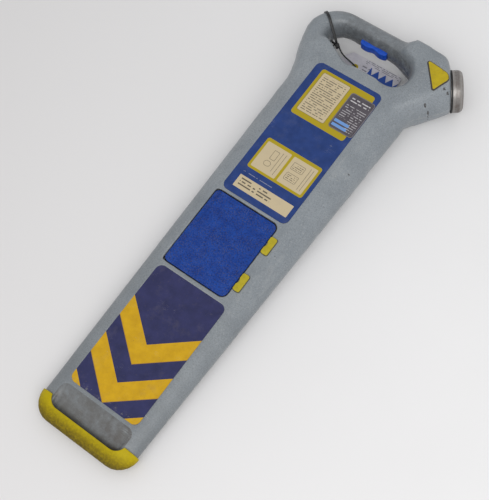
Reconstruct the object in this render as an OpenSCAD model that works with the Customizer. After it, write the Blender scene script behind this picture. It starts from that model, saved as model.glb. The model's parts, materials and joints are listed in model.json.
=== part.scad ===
// Hand-held cable locator: a tapered two-shell blade with a carrying loop and an angled nose.
// Lengths are in millimetres. The blade runs along Y from the foot to the head, and the rear face
// lies on Z = 0.

/* [Case] */
// Length from the foot to the top of the head
body_len = 687; // [683:1:700]
// Thickness of the case at the foot
foot_thick = 27.2; // [26.4:0.2:29]
// Thickness of the case at the head
head_thick = 72; // [70:0.5:76]
// Width of the blade at the foot
foot_width = 145.4; // [142:0.2:150]
// Width of the blade at the neck
neck_width = 174; // [170:1:180]
// Width of the flat front and rear faces
face_width = 109; // [108:0.5:113]
// Wall thickness of the shells
wall = 3; // [2.6:0.1:3.2]

/* [Foot] */
// Thickness of the bumper at the end of the foot
bumper_end = 5; // [4:0.5:7]
// Thickness of the bumper over the faces and edges
bumper_side = 2.4; // [1.8:0.2:3]
// Height of the bumper in the middle of the foot
bumper_mid = 18; // [16.5:0.5:19]
// Height of the bumper on the two edges
bumper_edge = 29.5; // [27:0.5:32]

/* [Battery door] */
// Width of the door
door_w = 96.6; // [94:0.2:97]
// Height of the door
door_h = 115; // [113:0.5:116]
// Thickness of the door, twice the radius of its hinge edge
door_t = 4.4; // [4.2:0.1:4.8]
// Gap between the door and the case
door_gap = 1.2; // [1:0.1:1.4]
// Diameter of the hinge pin
pin_d = 2; // [1.8:0.1:2.2]
// Diameter of a battery cell
cell_d = 14.5; // [13.5:0.1:14.8]
// Room for a contact at each end of a pair of cells
cell_room = 1.9; // [1.6:0.1:2.4]

/* [Latches] */
// Length of a latch button
latch_len = 25; // [23:0.5:26]
// Width of a latch button
latch_w = 9.6; // [9:0.1:9.8]
// Sliding travel of a latch
latch_travel = 3.5; // [2.5:0.1:3.5]

/* [Grip] */
// Half height of the grip bar
bar_half = 14; // [13:0.2:15]
// Half depth of the grip bar
bar_depth = 22; // [21:0.2:24]
// Length of the trigger
trigger_len = 41; // [38:0.5:44]
// Travel of the trigger
trigger_travel = 4; // [3:0.2:4]

/* [Nose] */
// Outside diameter of the bright nose ring
nose_d = 56.4; // [55:0.2:57.6]
// Length of the nose ring in front of its seal
nose_len = 14.2; // [13:0.2:16]
// Diameter of a control knob
knob_d = 12.4; // [11:0.2:12.6]

/* [Fits] */
// Gap between sliding pieces
run_gap = 0.35; // [0.3:0.05:0.45]
// Radial gap of a turning shaft
shaft_gap = 0.05; // [0.03:0.01:0.08]
// Gap between pieces that are seated
seat_gap = 0.15; // [0.1:0.05:0.25]

/* [Hidden] */
eps = 0.01;

// Taper of the case
h0 = foot_thick / 2;
taper = (head_thick - foot_thick) / 2 / body_len;
alpha = atan(taper);
neck_y = body_len - 112;
origin_y = 300;
face_half = face_width / 2;
function half_t(y) = h0 + taper * y;
function half_w(y) = (foot_width + (neck_width - foot_width) * y / neck_y) / 2;

// The rear face lies on the table
module lay() {
    translate([0, -origin_y, 0])
        rotate([alpha, 0, 0])
            translate([0, 0, h0])
                children();
}

// Frame on the front face, Z outwards
module on_face() {
    translate([0, 0, h0])
        rotate([alpha, 0, 0])
            children();
}

// Frame on the rear face, Z inwards
module on_rear() {
    translate([0, 0, -h0])
        rotate([-alpha, 0, 0])
            children();
}

// Frame on the nose, Z along the axis of the ring
nose_a = 35;
nose_x = 107;
nose_y = body_len - 32;
module on_nose() {
    translate([nose_x, nose_y, 0])
        rotate([0, 0, nose_a])
            rotate([0, 90, 0])
                children();
}

// Rounded corner at b between a and c, as n + 1 points
function fillet(a, b, c, r, n) =
    let (u = (a - b) / norm(a - b), v = (c - b) / norm(c - b), half = acos(u * v) / 2)
    let (o = b + (u + v) / norm(u + v) * r / sin(half), t = r / tan(half))
    let (p = b + u * t - o, q = b + v * t - o, a0 = atan2(p.y, p.x))
    let (turn = (atan2(q.y, q.x) - a0 + 900) % 360 - 180)
    [for (i = [0 : n]) o + r * [cos(a0 + turn * i / n), sin(a0 + turn * i / n)]];

// Outline through corners [x, y, radius]
function outline(cs, n) =
    let (m = len(cs))
    let (p = [for (c = cs) [c.x, c.y]])
    [for (i = [0 : m - 1]) each fillet(p[(i + m - 1) % m], p[i], p[(i + 1) % m], cs[i].z, n)];

// Rectangle with rounded corners
function rounded(x0, y0, x1, y1, r, n = 8) =
    outline([[x0, y0, r], [x1, y0, r], [x1, y1, r], [x0, y1, r]], n);

module plate(x0, y0, x1, y1, r, z0, z1) {
    translate([0, 0, z0])
        linear_extrude(z1 - z0)
            polygon(rounded(x0, y0, x1, y1, r));
}

module block(p, q) {
    translate(p)
        cube(q - p);
}

// Rounded side of the case from the seam, t = 0, to the crease of the flat face, t = 1
side_a = 64;
function side_u(t) = (1 - cos(side_a * t)) / (1 - cos(side_a));
function side_v(t) = sin(side_a * t) / sin(side_a);

// Closed skin over rings of equal length
module skin(rings) {
    m = len(rings);
    n = len(rings[0]);
    points = [for (r = rings) each r];
    sides = [for (k = [0 : m - 2]) for (i = [0 : n - 1])
        let (j = (i + 1) % n)
        each [[k * n + i, (k + 1) * n + i, (k + 1) * n + j], [k * n + i, (k + 1) * n + j, k * n + j]]];
    first = [for (i = [0 : n - 1]) i];
    last = [for (i = [0 : n - 1]) m * n - 1 - i];
    polyhedron(points, concat(sides, [first, last]));
}

// Solid between the two faces whose outline runs from seam corners to face corners, in m strips a side
module lens(seam, face, drop, n, m) {
    function ring(t) =
        let (u = side_u(abs(t)), v = side_v(abs(t)) * sign(t))
        let (cs = [for (k = [0 : len(seam) - 1]) seam[k] + (face[k] - seam[k]) * u])
        [for (p = outline(cs, n)) [p.x, p.y, v * (half_t(p.y) - drop)]];
    skin([for (i = [-m : m]) ring(i / m)]);
}

// Blade set in by i, with the foot end set in by e
hole_y = body_len - 84;
module blade(i, e) {
    y0 = bumper_end + e;
    y1 = hole_y - i;
    w0 = half_w(y0) - i;
    w1 = half_w(y1) - i;
    f = face_half - i * 0.45;
    lens([[-w0, y0, 26 - i], [w0, y0, 26 - i], [w1, y1, 8], [-w1, y1, 30]],
        [[-f, y0 + 24, 12], [f, y0 + 24, 12], [f, y1 - 1.5, 6], [-f, y1 - 1.5, 16]], i,
        i > 0 ? 3 : 6, i > 0 ? 3 : 5);
}

// Head that narrows to a round end for the nose ring
nose_r = nose_d / 2 + 1.2;
module head(i) {
    hull() {
        lens([[34 + i, neck_y - 12 + i, 5], [half_w(neck_y) - 10 - i, neck_y + 1 + i, 5],
                [112 - i, body_len - 61 + i * 0.3, 10], [86.5 - i * 0.6, body_len - 1.2 - i, 8],
                [20 + i * 1.2, body_len - 1.2 - i, 14]],
            [[40 + i * 0.5, neck_y - 20 + i, 4], [56 - i * 0.5, neck_y - 16 + i, 4],
                [104 - i * 0.8, body_len - 51 + i * 0.3, 9], [85.5 - i * 0.5, body_len - 8.4 - i * 0.5, 6],
                [32 + i * 0.8, body_len - 6.6 - i * 0.5, 9]], i + 0.04, i > 0 ? 2 : 4, i > 0 ? 2 : 5);
        on_nose()
            translate([0, 0, -9])
                cylinder(r = nose_r - i, h = 9 - i, $fn = i > 0 ? 32 : 64);
    }
}

// Shoulder between the blade and the carrying loop
module shoulder(i) {
    lens([[-84 + i, neck_y - 15 + i, 6], [-28 - i, neck_y + 10, 6], [-28 - i, hole_y + 1 - i, 8],
            [-73 - i * 0.5, hole_y + 26 - i, 8], [-101 + i, hole_y + 9, 10]],
        [[-56 + i, neck_y - 15 + i, 6], [-28 - i, neck_y + 10, 6], [-28 - i, hole_y - 0.5 - i, 8],
            [-71 - i * 0.5, hole_y + 21 - i, 8], [-82 + i, hole_y + 3, 10]], i + 0.6,
            i > 0 ? 2 : 4, i > 0 ? 2 : 5);
}

// Hollow at the end of the grip opening where the bar runs into the head
module scoop(i) {
    z = half_t(body_len) + 4;
    n = i > 0 ? 2 : 5;
    translate([31, hole_y + hole_r, 0])
        rotate_extrude($fn = i > 0 ? 24 : 48)
            polygon(concat([[0, -z], [0, z]], [for (k = [n : -1 : -n])
                [hole_r + i + 9 * pow(k / n, 2), z * k / n]]));
}

// Carrying loop: stations of centre, half width and half depth
arc_x = -60;
arc_y = body_len - 3.5 - 50;
arc_r = 50;
pillar_half = bar_half + 3.4;
pillar_depth = bar_depth + 6;
bar_y = body_len - 3.5 - bar_half;
bar_low = bar_y - bar_half;
hole_r = (bar_low - hole_y) / 2 - 1;
function on_arc(a, w, d) = [arc_x + (arc_r - w) * cos(a), arc_y + (arc_r - w) * sin(a), w, d];
loop = concat([[-52, neck_y - 58, 14, 20], [-63.5, neck_y - 18, 21.5, 30], [-71, neck_y + 6, 21, 31],
        [-82.6, neck_y + 32, 20, 30]],
    [for (t = [0 : 5]) on_arc(178 - 88 * t / 5, pillar_half + (bar_half - pillar_half) * t / 5,
        pillar_depth + (bar_depth - pillar_depth) * t / 5)],
    [[-32, bar_y, bar_half, bar_depth], [-6, bar_y, bar_half, bar_depth],
        [16, bar_y - 0.3, bar_half + 0.5, bar_depth + 1], [34, bar_y - 1.5, bar_half + 3, bar_depth + 4],
        [52, bar_y - 5, bar_half + 6.5, bar_depth + 7.5], [70, bar_y - 10, bar_half + 8, bar_depth + 8]]);

// Smooth curve through stations
function curve(p, i, t) =
    let (a = p[max(i - 1, 0)], b = p[i], c = p[i + 1], d = p[min(i + 2, len(p) - 1)])
    b + (c - a) / 2 * t + (2 * a - 5 * b + 4 * c - d) / 2 * t * t + (3 * b - a - 3 * c + d) / 2 * t * t * t;
function along(p, n) =
    concat([for (i = [0 : len(p) - 2]) for (k = [0 : n - 1]) curve(p, i, k / n)], [p[len(p) - 1]]);

module grip(i) {
    q = along(loop, i > 0 ? 1 : 2);
    n = len(q);
    step = i > 0 ? 22.5 : 15;
    function section(k) =
        let (b = q[max(k - 1, 0)], c = q[min(k + 1, n - 1)], d = [c.x - b.x, c.y - b.y])
        let (m = [-d.y, d.x] / norm(d), w = q[k][2] - i, z = q[k][3] - i)
        [for (a = [0 : step : 359]) [q[k].x + m.x * w * cos(a), q[k].y + m.y * w * cos(a), z * sin(a)]];
    skin([for (k = [0 : n - 1]) section(k)]);
}

module form(i) {
    union() {
        blade(i, i);
        shoulder(i);
        difference() {
            head(i);
            scoop(i);
        }
        grip(i);
    }
}

// Pad at the foot that rolls down from the front face between two cheeks
pad_half = face_half - 1.7;
pad_top = bumper_mid + 34;
pad_r = 90;
pad_rise = 0.5;
module pad_cut(i) {
    on_face()
        difference() {
            plate(-pad_half - i, bumper_mid - 8 - i, pad_half + i, pad_top + 4 + i, 11 + i, -20, 10);
            translate([-100, pad_top + 7, pad_rise - pad_r - i])
                rotate([0, 90, 0])
                    cylinder(r = pad_r, h = 200, $fn = 160);
        }
}

// Door opening, in the frame of the front face
door_x1 = 42;
door_x0 = door_x1 - door_w;
door_mid = body_len * 0.43945;
door_y0 = door_mid - door_h / 2;
door_y1 = door_y0 + door_h;
door_r = 8;
hinge_r = door_t / 2;
hinge_x = door_x0 + hinge_r;
hinge_gap = 1.2;
open_x0 = door_x0 - hinge_gap;
open_x1 = door_x1 + door_gap;
open_y0 = door_y0 - door_gap;
open_y1 = door_y1 + door_gap;
pin_over = 5;

// Latches, in the frame of the front face
latch_x0 = open_x1 + 0.4;
latch_y = [door_y0 + 28, door_y1 - 28.5];
latch_t = 2.6;
stem_x0 = latch_x0 + 1.6;
stem_w = 3;
stem_half = latch_len / 2 - 5.5;

// Labels, in the frame of the front face
label_t = 0.5;
label_sink = 0.4;
lower_y0 = pad_top + 4;
lower_y1 = door_y0 - 7.4;
upper_y0 = door_y1 + 5.8;
upper_y1 = hole_y - 19;
label_half = face_half - 1.5;
upper_x1 = label_half - 4.2;
sticker_t = 0.3;

// Trigger and its slot
trig_x0 = -14 - trigger_len / 2;
trig_x1 = -14 + trigger_len / 2;
trig_half = 6.5;
trig_flange = bar_y - (bar_half - wall) * sqrt(1 - pow(10 / (bar_depth - wall), 2)) + run_gap;

// Case screws
boss_r = 5.4;
screw_r = 1.6;
screw_seat = -6;
screw_rows = [for (k = [0.1019, 0.3435, 0.5357, 0.7569]) body_len * k];
screws = [for (y = screw_rows) for (s = [-1, 1]) [s * (half_w(y) - 14), y]];

// Nose seat
seal_t = 1.3;
seal_r = nose_d / 2 + 0.4;
spigot_r = nose_d / 2 - 3.9;

// Loudspeaker on the rear face
speaker = [22, hole_y - 42];
speaker_r = 20;

// Posts for the board
board_x = 42;
board_y0 = door_y1 + 46;
board_len = (upper_y1 - upper_y0) * 0.5393;
board_y1 = board_y0 + board_len;
board_t = 1.6;

module boss_set(z0, z1) {
    for (p = screws)
        hull() {
            translate([p.x, p.y, z0])
                cylinder(r = boss_r, h = z1 - z0, $fn = 32);
            translate([p.x + sign(p.x) * 6, p.y, z0])
                cylinder(r = 1.6, h = z1 - z0, $fn = 12);
        }
}

module half_space(s) {
    block([-200, -50, s > 0 ? 0 : -80], [200, body_len + 50, s > 0 ? 80 : 0]);
}

module nose_bore() {
    on_nose() {
        translate([0, 0, -30])
            cylinder(r = spigot_r + seat_gap, h = 60, $fn = 72);
    }
}

module trigger_slot() {
    block([trig_x0 - run_gap, bar_low - 20, -trig_half - run_gap],
        [trig_x1 + run_gap, bar_y - 4, trig_half + run_gap]);
}

module front_shell() {
    color([0.47, 0.53, 0.55])
        lay()
            difference() {
                union() {
                    difference() {
                        form(0);
                        difference() {
                            form(wall);
                            pad_cut(wall);
                        }
                    }
                    intersection() {
                        form(wall / 2);
                        boss_set(0, 60);
                    }
                }
                pad_cut(0);
                half_space(-1);
                nose_bore();
                trigger_slot();
                for (p = screws)
                    translate([p.x, p.y, -1])
                        cylinder(r = screw_r + 0.1, h = 9.5, $fn = 24);
                on_face() {
                    plate(open_x0, open_y0, open_x1, open_y1, door_r + door_gap, -10, 10);
                    plate(open_x0, open_y0, hinge_x + 20, open_y1, door_r / 2, -10, 10);
                    block([hinge_x - pin_d / 2 - seat_gap, open_y0 - pin_over - seat_gap, -10],
                        [hinge_x + pin_d / 2 + seat_gap, open_y1 + pin_over + seat_gap,
                        -hinge_r + pin_d / 2 + seat_gap]);
                    for (y = latch_y)
                        block([stem_x0 - run_gap, y - stem_half - run_gap, -10],
                            [stem_x0 + stem_w + latch_travel + run_gap, y + stem_half + run_gap, 10]);
                    plate(-label_half - seat_gap, lower_y0 - seat_gap, label_half + seat_gap,
                        lower_y1 + seat_gap, 9, -label_sink, 5);
                    plate(-label_half - seat_gap, upper_y0 - seat_gap, upper_x1 + seat_gap,
                        upper_y1 + seat_gap, 9, -label_sink, 5);
                }
            }
}

module rear_shell() {
    color([0.45, 0.51, 0.53])
        lay()
            difference() {
                union() {
                    difference() {
                        form(0);
                        form(wall);
                    }
                    intersection() {
                        form(wall / 2);
                        union() {
                            boss_set(-60, 0);
                            for (x = [-board_x + 5, board_x - 5])
                                for (y = [board_y0 + 6, board_y1 - 6])
                                    translate([x, y, -60])
                                        cylinder(r = 3.5, h = 60, $fn = 24);
                        }
                    }
                }
                half_space(1);
                nose_bore();
                trigger_slot();
                for (p = screws) {
                    translate([p.x, p.y, -20])
                        cylinder(r = screw_r + 0.3, h = 30, $fn = 24);
                    translate([p.x, p.y, -80])
                        cylinder(r = 3.9, h = 80 + screw_seat, $fn = 32);
                }
                on_rear()
                    for (i = [-3 : 3])
                        let (h = 15 - abs(i) * 2.4)
                            plate(speaker.x - h, speaker.y + i * 4.4 - 0.9, speaker.x + h,
                                speaker.y + i * 4.4 + 0.9, 0.85, -5, wall + 2);
            }
}

module case_screws() {
    color([0.66, 0.67, 0.68])
        lay()
            for (p = screws)
                translate([p.x, p.y, 0]) {
                    translate([0, 0, screw_seat - 2.4])
                        difference() {
                            cylinder(r = 3.4, h = 2.4, $fn = 40);
                            translate([-2.4, -0.4, -1])
                                cube([4.8, 0.8, 2]);
                            translate([-0.4, -2.4, -1])
                                cube([0.8, 4.8, 2]);
                        }
                    translate([0, 0, screw_seat - eps])
                        cylinder(r = screw_r, h = 7 - screw_seat, $fn = 32);
                }
}

module foot_bumper() {
    color([0.80, 0.76, 0.10])
        lay()
            difference() {
                intersection() {
                    union() {
                        blade(-bumper_side, -bumper_end);
                    }
                    difference() {
                        block([-100, -5, -60], [100, bumper_edge, 60]);
                        plate(-face_half - 3, bumper_mid, face_half + 3, bumper_edge + 40, 15, -70, 70);
                    }
                }
                blade(-seat_gap, -seat_gap);
                on_rear()
                    block([-150, -50, -20], [150, 100, 0]);
            }
}

module lower_label() {
    color([0.20, 0.18, 0.38])
        lay()
            on_face()
                plate(-label_half, lower_y0, label_half, lower_y1, 8.8, -label_sink, label_t - label_sink);
}

module upper_label() {
    color([0.12, 0.22, 0.52])
        lay()
            on_face()
                plate(-label_half, upper_y0, upper_x1, upper_y1, 8.8, -label_sink, label_t - label_sink);
}

module service_sticker() {
    color([0.16, 0.15, 0.19])
        lay()
            on_face()
                plate(upper_x1 - 37.5, upper_y1 - 74, upper_x1 - 0.3, upper_y1 - 16, 4,
                    label_t - label_sink, label_t - label_sink + sticker_t);
}

module triangle_sticker() {
    color([0.86, 0.68, 0.08])
        lay()
            on_face()
                linear_extrude(sticker_t)
                    polygon(outline([[96.2, body_len - 62.2, 3], [105.2, body_len - 36.5, 1.2],
                        [99.5, body_len - 27, 1.2], [63.8, body_len - 24.6, 3]], 6));
}

module battery_door() {
    color([0.08, 0.22, 0.60])
        lay()
            on_face()
                difference() {
                    intersection() {
                        union() {
                            block([hinge_x, door_y0, -door_t], [door_x1, door_y1, 0]);
                            translate([hinge_x, door_y0, -hinge_r])
                                rotate([-90, 0, 0])
                                    cylinder(r = hinge_r, h = door_h, $fn = 64);
                        }
                        plate(door_x0 - eps, door_y0, door_x1, door_y1, door_r, -door_t - 1, 1);
                    }
                    translate([hinge_x, door_y0 - 1, -hinge_r])
                        rotate([-90, 0, 0])
                            cylinder(r = pin_d / 2 + shaft_gap, h = door_h + 2, $fn = 64);
                    for (i = [0 : 2])
                        let (w = (door_w - 18) / 3)
                            plate(hinge_x + 5 + i * w, door_y0 + 5, hinge_x + 3 + (i + 1) * w, door_y1 - 5,
                                3, -door_t - 1, -door_t / 2);
                }
}

module hinge_pin() {
    color([0.70, 0.71, 0.72])
        lay()
            on_face()
                translate([hinge_x, open_y0 - pin_over, -hinge_r])
                    rotate([-90, 0, 0])
                        cylinder(r = pin_d / 2, h = open_y1 - open_y0 + 2 * pin_over, $fn = 48);
}

// Levels of the battery tray below the front face
ledge_z = -door_t - 1.6;
tray_wall = 2;
well_x0 = hinge_x + 3;
well_x1 = door_x1 - 5.4;
well_y0 = door_y0 + 4.6;
well_y1 = door_y1 - 4.6;
well_z = ledge_z - 19;
row_w = (well_x1 - well_x0) / 4;
row_x = [for (i = [0 : 3]) well_x0 + row_w * (i + 0.5)];
cell_z = well_z + cell_d / 2;
cell_len = (well_y1 - well_y0 - 2 * cell_room - 1) / 2;

module door_gasket() {
    color([0.05, 0.05, 0.05])
        lay()
            on_face()
                difference() {
                    plate(hinge_x - 0.2, door_y0 - 0.4, door_x1 + 0.4, door_y1 + 0.4, 6,
                        ledge_z, -door_t - run_gap);
                    plate(well_x0 - 0.8, well_y0 - 0.8, well_x1 + 0.8, well_y1 + 0.8, 3, ledge_z - 1, 0);
                }
}

module latch(y) {
    color([0.80, 0.74, 0.10])
        lay()
            on_face()
                translate([0, y, 0]) {
                    difference() {
                        plate(latch_x0, -latch_len / 2, latch_x0 + latch_w, latch_len / 2, 2.4,
                            run_gap, run_gap + latch_t);
                        translate([latch_x0 - 4.4, 0, -1])
                            cylinder(r = 6, h = 6, $fn = 64);
                    }
                    block([stem_x0, -stem_half, -wall - run_gap - 1],
                        [stem_x0 + stem_w, stem_half, run_gap + 1]);
                    block([stem_x0 - 1, -stem_half - 2, -wall - run_gap - 1.8],
                        [stem_x0 + stem_w + 1, stem_half + 2, -wall - run_gap]);
                }
}

module upper_latch() {
    latch(latch_y[1]);
}

module lower_latch() {
    latch(latch_y[0]);
}

module battery_tray() {
    color([0.10, 0.10, 0.11])
        lay()
            on_face()
                difference() {
                    union() {
                        block([hinge_x - 0.3, open_y0 - 2, ledge_z - tray_wall],
                            [open_x1 + 2, open_y1 + 2, -wall]);
                        block([hinge_x - 0.3, open_y0 - 8, -wall - 2], [open_x1 + 5, open_y1 + 8, -wall]);
                        block([well_x0 - tray_wall, well_y0 - tray_wall, well_z - tray_wall],
                            [well_x1 + tray_wall, well_y1 + tray_wall, ledge_z - eps]);
                    }
                    plate(open_x0 - 4, open_y0, open_x1, open_y1, door_r, ledge_z, 1);
                    plate(well_x0, well_y0, well_x1, well_y1, 2.5, well_z, 1);
                    block([hinge_x - pin_d / 2 - seat_gap, open_y0 - pin_over - seat_gap,
                        -hinge_r - pin_d / 2],
                        [hinge_x + pin_d / 2 + seat_gap, open_y1 + pin_over + seat_gap, 0]);
                    for (y = latch_y)
                        block([open_x1 - 1, y - stem_half - 3, -wall - 3.2],
                            [open_x1 + 12, y + stem_half + 3, 0]);
                }
}

module battery_cells() {
    lay()
        on_face()
            for (i = [0 : 3])
                for (k = [0, 1]) {
                    flip = (i + k) % 2;
                    y0 = (well_y0 + well_y1) / 2 + (k == 0 ? -cell_len - 0.5 : 0.5);
                    translate([row_x[i], flip ? y0 + cell_len : y0, cell_z])
                        rotate([flip ? 90 : -90, 0, 0]) {
                            color([0.14, 0.14, 0.15])
                                cylinder(d = cell_d, h = cell_len - 1.4, $fn = 48);
                            color([0.75, 0.75, 0.75])
                                translate([0, 0, cell_len - 1.4 - eps])
                                    cylinder(d = 5.2, h = 1.4, $fn = 32);
                        }
                }
}

module battery_contacts() {
    color([0.76, 0.75, 0.70])
        lay()
            on_face()
                for (i = [0 : 3]) {
                    block([row_x[i] - 5, well_y0, well_z], [row_x[i] + 5, well_y0 + 0.5, well_z + 12]);
                    block([row_x[i] - 5, well_y1 - 0.5, well_z], [row_x[i] + 5, well_y1, well_z + 12]);
                    for (y = [well_y0, well_y1 - cell_room + 0.1])
                        translate([row_x[i], y, cell_z])
                            rotate([-90, 0, 0])
                                cylinder(d = 4.4, h = cell_room - 0.1, $fn = 32);
                }
}

module main_board() {
    color([0.10, 0.32, 0.18])
        lay()
            difference() {
                plate(-board_x, board_y0, board_x, board_y1, 3, 0, board_t);
                for (x = [-board_x + 5, board_x - 5])
                    for (y = [board_y0 + 6, board_y1 - 6])
                        translate([x, y, -1])
                            cylinder(r = 1.6, h = 4, $fn = 32);
            }
}

module board_parts() {
    k = board_len / 118;
    lay()
        translate([0, board_y0, board_t]) {
            color([0.07, 0.07, 0.08]) {
                block([-30, 30 * k, 0], [-12, 48 * k, 2.4]);
                block([2, 34 * k, 0], [22, 42 * k, 3]);
                block([2, 56 * k, 0], [22, 64 * k, 3]);
                block([-30, 62 * k, 0], [-14, 70 * k, 3]);
            }
            color([0.12, 0.14, 0.30])
                for (i = [0 : 3])
                    translate([-28 + i * 12, 92 * k, 0])
                        cylinder(r = 4 * k, h = 11, $fn = 40);
            color([0.90, 0.89, 0.84]) {
                block([-20, 4 * k, 0], [-4, 10 * k, 7]);
                block([8, 4 * k, 0], [24, 10 * k, 7]);
                block([20, 100 * k, 0], [34, 106 * k, 7]);
            }
        }
}

// Search coils: ferrite rods across the blade with a winding on each
rod_r = 5;
lower_rod_y = 44;
upper_rod_y = door_y1 + 28;
lower_rod = 104;
upper_rod = 124;

module rod(y, l) {
    color([0.16, 0.15, 0.15])
        lay()
            translate([-l / 2, y, 0])
                rotate([0, 90, 0])
                    cylinder(r = rod_r, h = l, $fn = 48);
}

module coil(y, l) {
    lay()
        translate([-l / 2, y, 0])
            rotate([0, 90, 0]) {
                color([0.62, 0.32, 0.14])
                    difference() {
                        cylinder(r = 7.6, h = l, $fn = 48);
                        translate([0, 0, -1])
                            cylinder(r = rod_r + 0.05, h = l + 2, $fn = 48);
                    }
                color([0.85, 0.83, 0.76])
                    for (z = [-1.6, l])
                        translate([0, 0, z])
                            difference() {
                                cylinder(r = 8.6, h = 1.6, $fn = 48);
                                translate([0, 0, -1])
                                    cylinder(r = rod_r + 0.05, h = 4, $fn = 48);
                            }
            }
}

module lower_ferrite() {
    rod(lower_rod_y, lower_rod);
}

module lower_coil() {
    coil(lower_rod_y, 62);
}

module upper_ferrite() {
    rod(upper_rod_y, upper_rod);
}

module upper_coil() {
    coil(upper_rod_y, 76);
}

module saddle(y, x) {
    difference() {
        on_rear()
            block([x - 3, y - 8, wall], [x + 3, y + 8, half_t(y) + 4]);
        translate([x - 10, y, 0])
            rotate([0, 90, 0])
                cylinder(r = rod_r, h = 20, $fn = 48);
        block([x - 10, y - rod_r, 0], [x + 10, y + rod_r, 20]);
    }
}

module coil_brackets() {
    color([0.12, 0.12, 0.13])
        lay()
            for (s = [-1, 1]) {
                saddle(lower_rod_y, s * 42);
                saddle(upper_rod_y, s * 50);
            }
}

// Blue finger trigger with two lobes
module trigger() {
    color([0.07, 0.25, 0.70])
        lay() {
            translate([0, 0, -trig_half])
                linear_extrude(2 * trig_half)
                    polygon(concat([[trig_x1, trig_flange + 1], [trig_x0, trig_flange + 1]],
                        [for (t = [0 : 24])
                            [trig_x0 + trigger_len * t / 24,
                            bar_low - 3.2 - 3 * pow(sin(t / 24 * 180), 0.5)
                            + 3.2 * exp(-pow((t - 12) / 4.2, 2))]]));
            block([trig_x0 - 2, trig_flange, -10], [trig_x1 + 2, trig_flange + 2, 10]);
        }
}

module trigger_switch() {
    color([0.09, 0.09, 0.10])
        lay() {
            block([-28, trig_flange + trigger_travel + 4, -5], [-8, bar_y + bar_half - wall - 0.6, 5]);
            block([-21, trig_flange + trigger_travel + 2 + run_gap, -2],
                [-17, trig_flange + trigger_travel + 4 + eps, 2]);
        }
}

module ring(r0, r1, z0, z1, f = 96) {
    translate([0, 0, z0])
        difference() {
            cylinder(r = r1, h = z1 - z0, $fn = f);
            translate([0, 0, -1])
                cylinder(r = r0, h = z1 - z0 + 2, $fn = f);
        }
}

// Levels along the nose axis
ledge_r = spigot_r - 3.6;
face_r = spigot_r - 2.2;
face_z = 3.4;
face_t = 2;
front_z = seal_t + nose_len;

module nose_seal() {
    color([0.04, 0.04, 0.04])
        lay()
            on_nose()
                ring(spigot_r + seat_gap, seal_r, 0, seal_t);
}

module nose_bezel() {
    r = nose_d / 2;
    color([0.78, 0.77, 0.75])
        lay()
            on_nose()
                rotate_extrude($fn = 120)
                    polygon(concat([[ledge_r, -5], [spigot_r, -5], [spigot_r, seal_t], [r, seal_t]],
                        [for (a = [0 : 15 : 90]) [r - 3 + 3 * cos(a), front_z - 3 + 3 * sin(a)]],
                        [[r - 4.4, front_z], [face_r + seat_gap, front_z - 1.4],
                        [face_r + seat_gap, face_z],
                            [ledge_r, face_z]]));
}

// Layout on the control face
dial_y = 1.5;
knob_x = 9.6;
knob_y = -10.4;
shaft_r = 2;
window_x = 14.6;
window_y0 = 4;
window_y1 = 16;
dial_z = 1.2;

module control_face() {
    color([0.07, 0.07, 0.08])
        lay()
            on_nose()
                difference() {
                    translate([0, 0, face_z])
                        cylinder(r = face_r, h = face_t, $fn = 96);
                    plate(-window_x, window_y0, window_x, window_y1, 1.5, face_z - 1, face_z + face_t + 1);
                    for (s = [-1, 1])
                        translate([s * knob_x, knob_y, 0])
                            cylinder(r = shaft_r + 0.4, h = 12, $fn = 40);
                }
}

module meter_window() {
    color([0.80, 0.88, 0.90, 0.35])
        lay()
            on_nose()
                plate(-window_x + 0.1, window_y0 + 0.1, window_x - 0.1, window_y1 - 0.1, 1.4,
                    face_z + face_t - 1.1, face_z + face_t - 0.1);
}

module meter_dial() {
    color([0.90, 0.88, 0.78])
        lay()
            on_nose()
                difference() {
                    plate(-15.4, dial_y - 3.2, 15.4, window_y1 - 2.6, 2, dial_z, dial_z + 0.6);
                    translate([0, dial_y, 0])
                        cylinder(r = 1.3, h = 4, $fn = 32);
                }
}

module meter_movement() {
    color([0.15, 0.15, 0.16])
        lay()
            on_nose()
                difference() {
                    union() {
                        translate([0, dial_y + 4, dial_z - 13])
                            cylinder(r = 9.6, h = 13, $fn = 64);
                        for (s = [-1, 1])
                            block([s * 14.2 - 1, dial_y + 1, dial_z - 3],
                                [s * 14.2 + 1, dial_y + 8, dial_z]);
                        block([-18, dial_y + 1, dial_z - 3], [18, dial_y + 6, dial_z - 1]);
                        for (s = [-1, 1])
                            translate([s * 17.2, dial_y + 3.5, dial_z - 3])
                                cylinder(r = 1.5, h = face_z - dial_z + 3, $fn = 24);
                    }
                    translate([0, dial_y, dial_z - 6])
                        cylinder(r = 0.8 + shaft_gap, h = 10, $fn = 32);
                }
}

module meter_needle() {
    color([0.72, 0.10, 0.08])
        lay()
            on_nose()
                translate([0, dial_y, 0]) {
                    translate([0, 0, dial_z - 5])
                        cylinder(r = 0.8, h = 6.6, $fn = 32);
                    translate([0, 0, dial_z + 1])
                        cylinder(r = 1.8, h = 0.6, $fn = 32);
                    rotate([0, 0, 40])
                        block([-0.45, -2.6, dial_z + 1], [0.45, 11.2, dial_z + 1.6]);
                }
}

module knob(x) {
    translate([x, knob_y, 0]) {
        translate([0, 0, -3])
            cylinder(r = shaft_r, h = 10, $fn = 40);
        difference() {
            translate([0, 0, face_z + face_t + run_gap])
                cylinder(r1 = knob_d / 2, r2 = knob_d / 2 - 0.5, h = 6.4, $fn = 64);
            translate([-0.5, knob_d / 2 - 4, face_z + face_t + run_gap + 5.6])
                cube([1, 6, 2]);
            for (a = [0 : 30 : 330])
                rotate([0, 0, a + 15])
                    translate([knob_d / 2 + 0.5, 0, face_z + face_t + run_gap + 1.4])
                        cylinder(r = 1.1, h = 8, $fn = 16);
        }
    }
}

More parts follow.
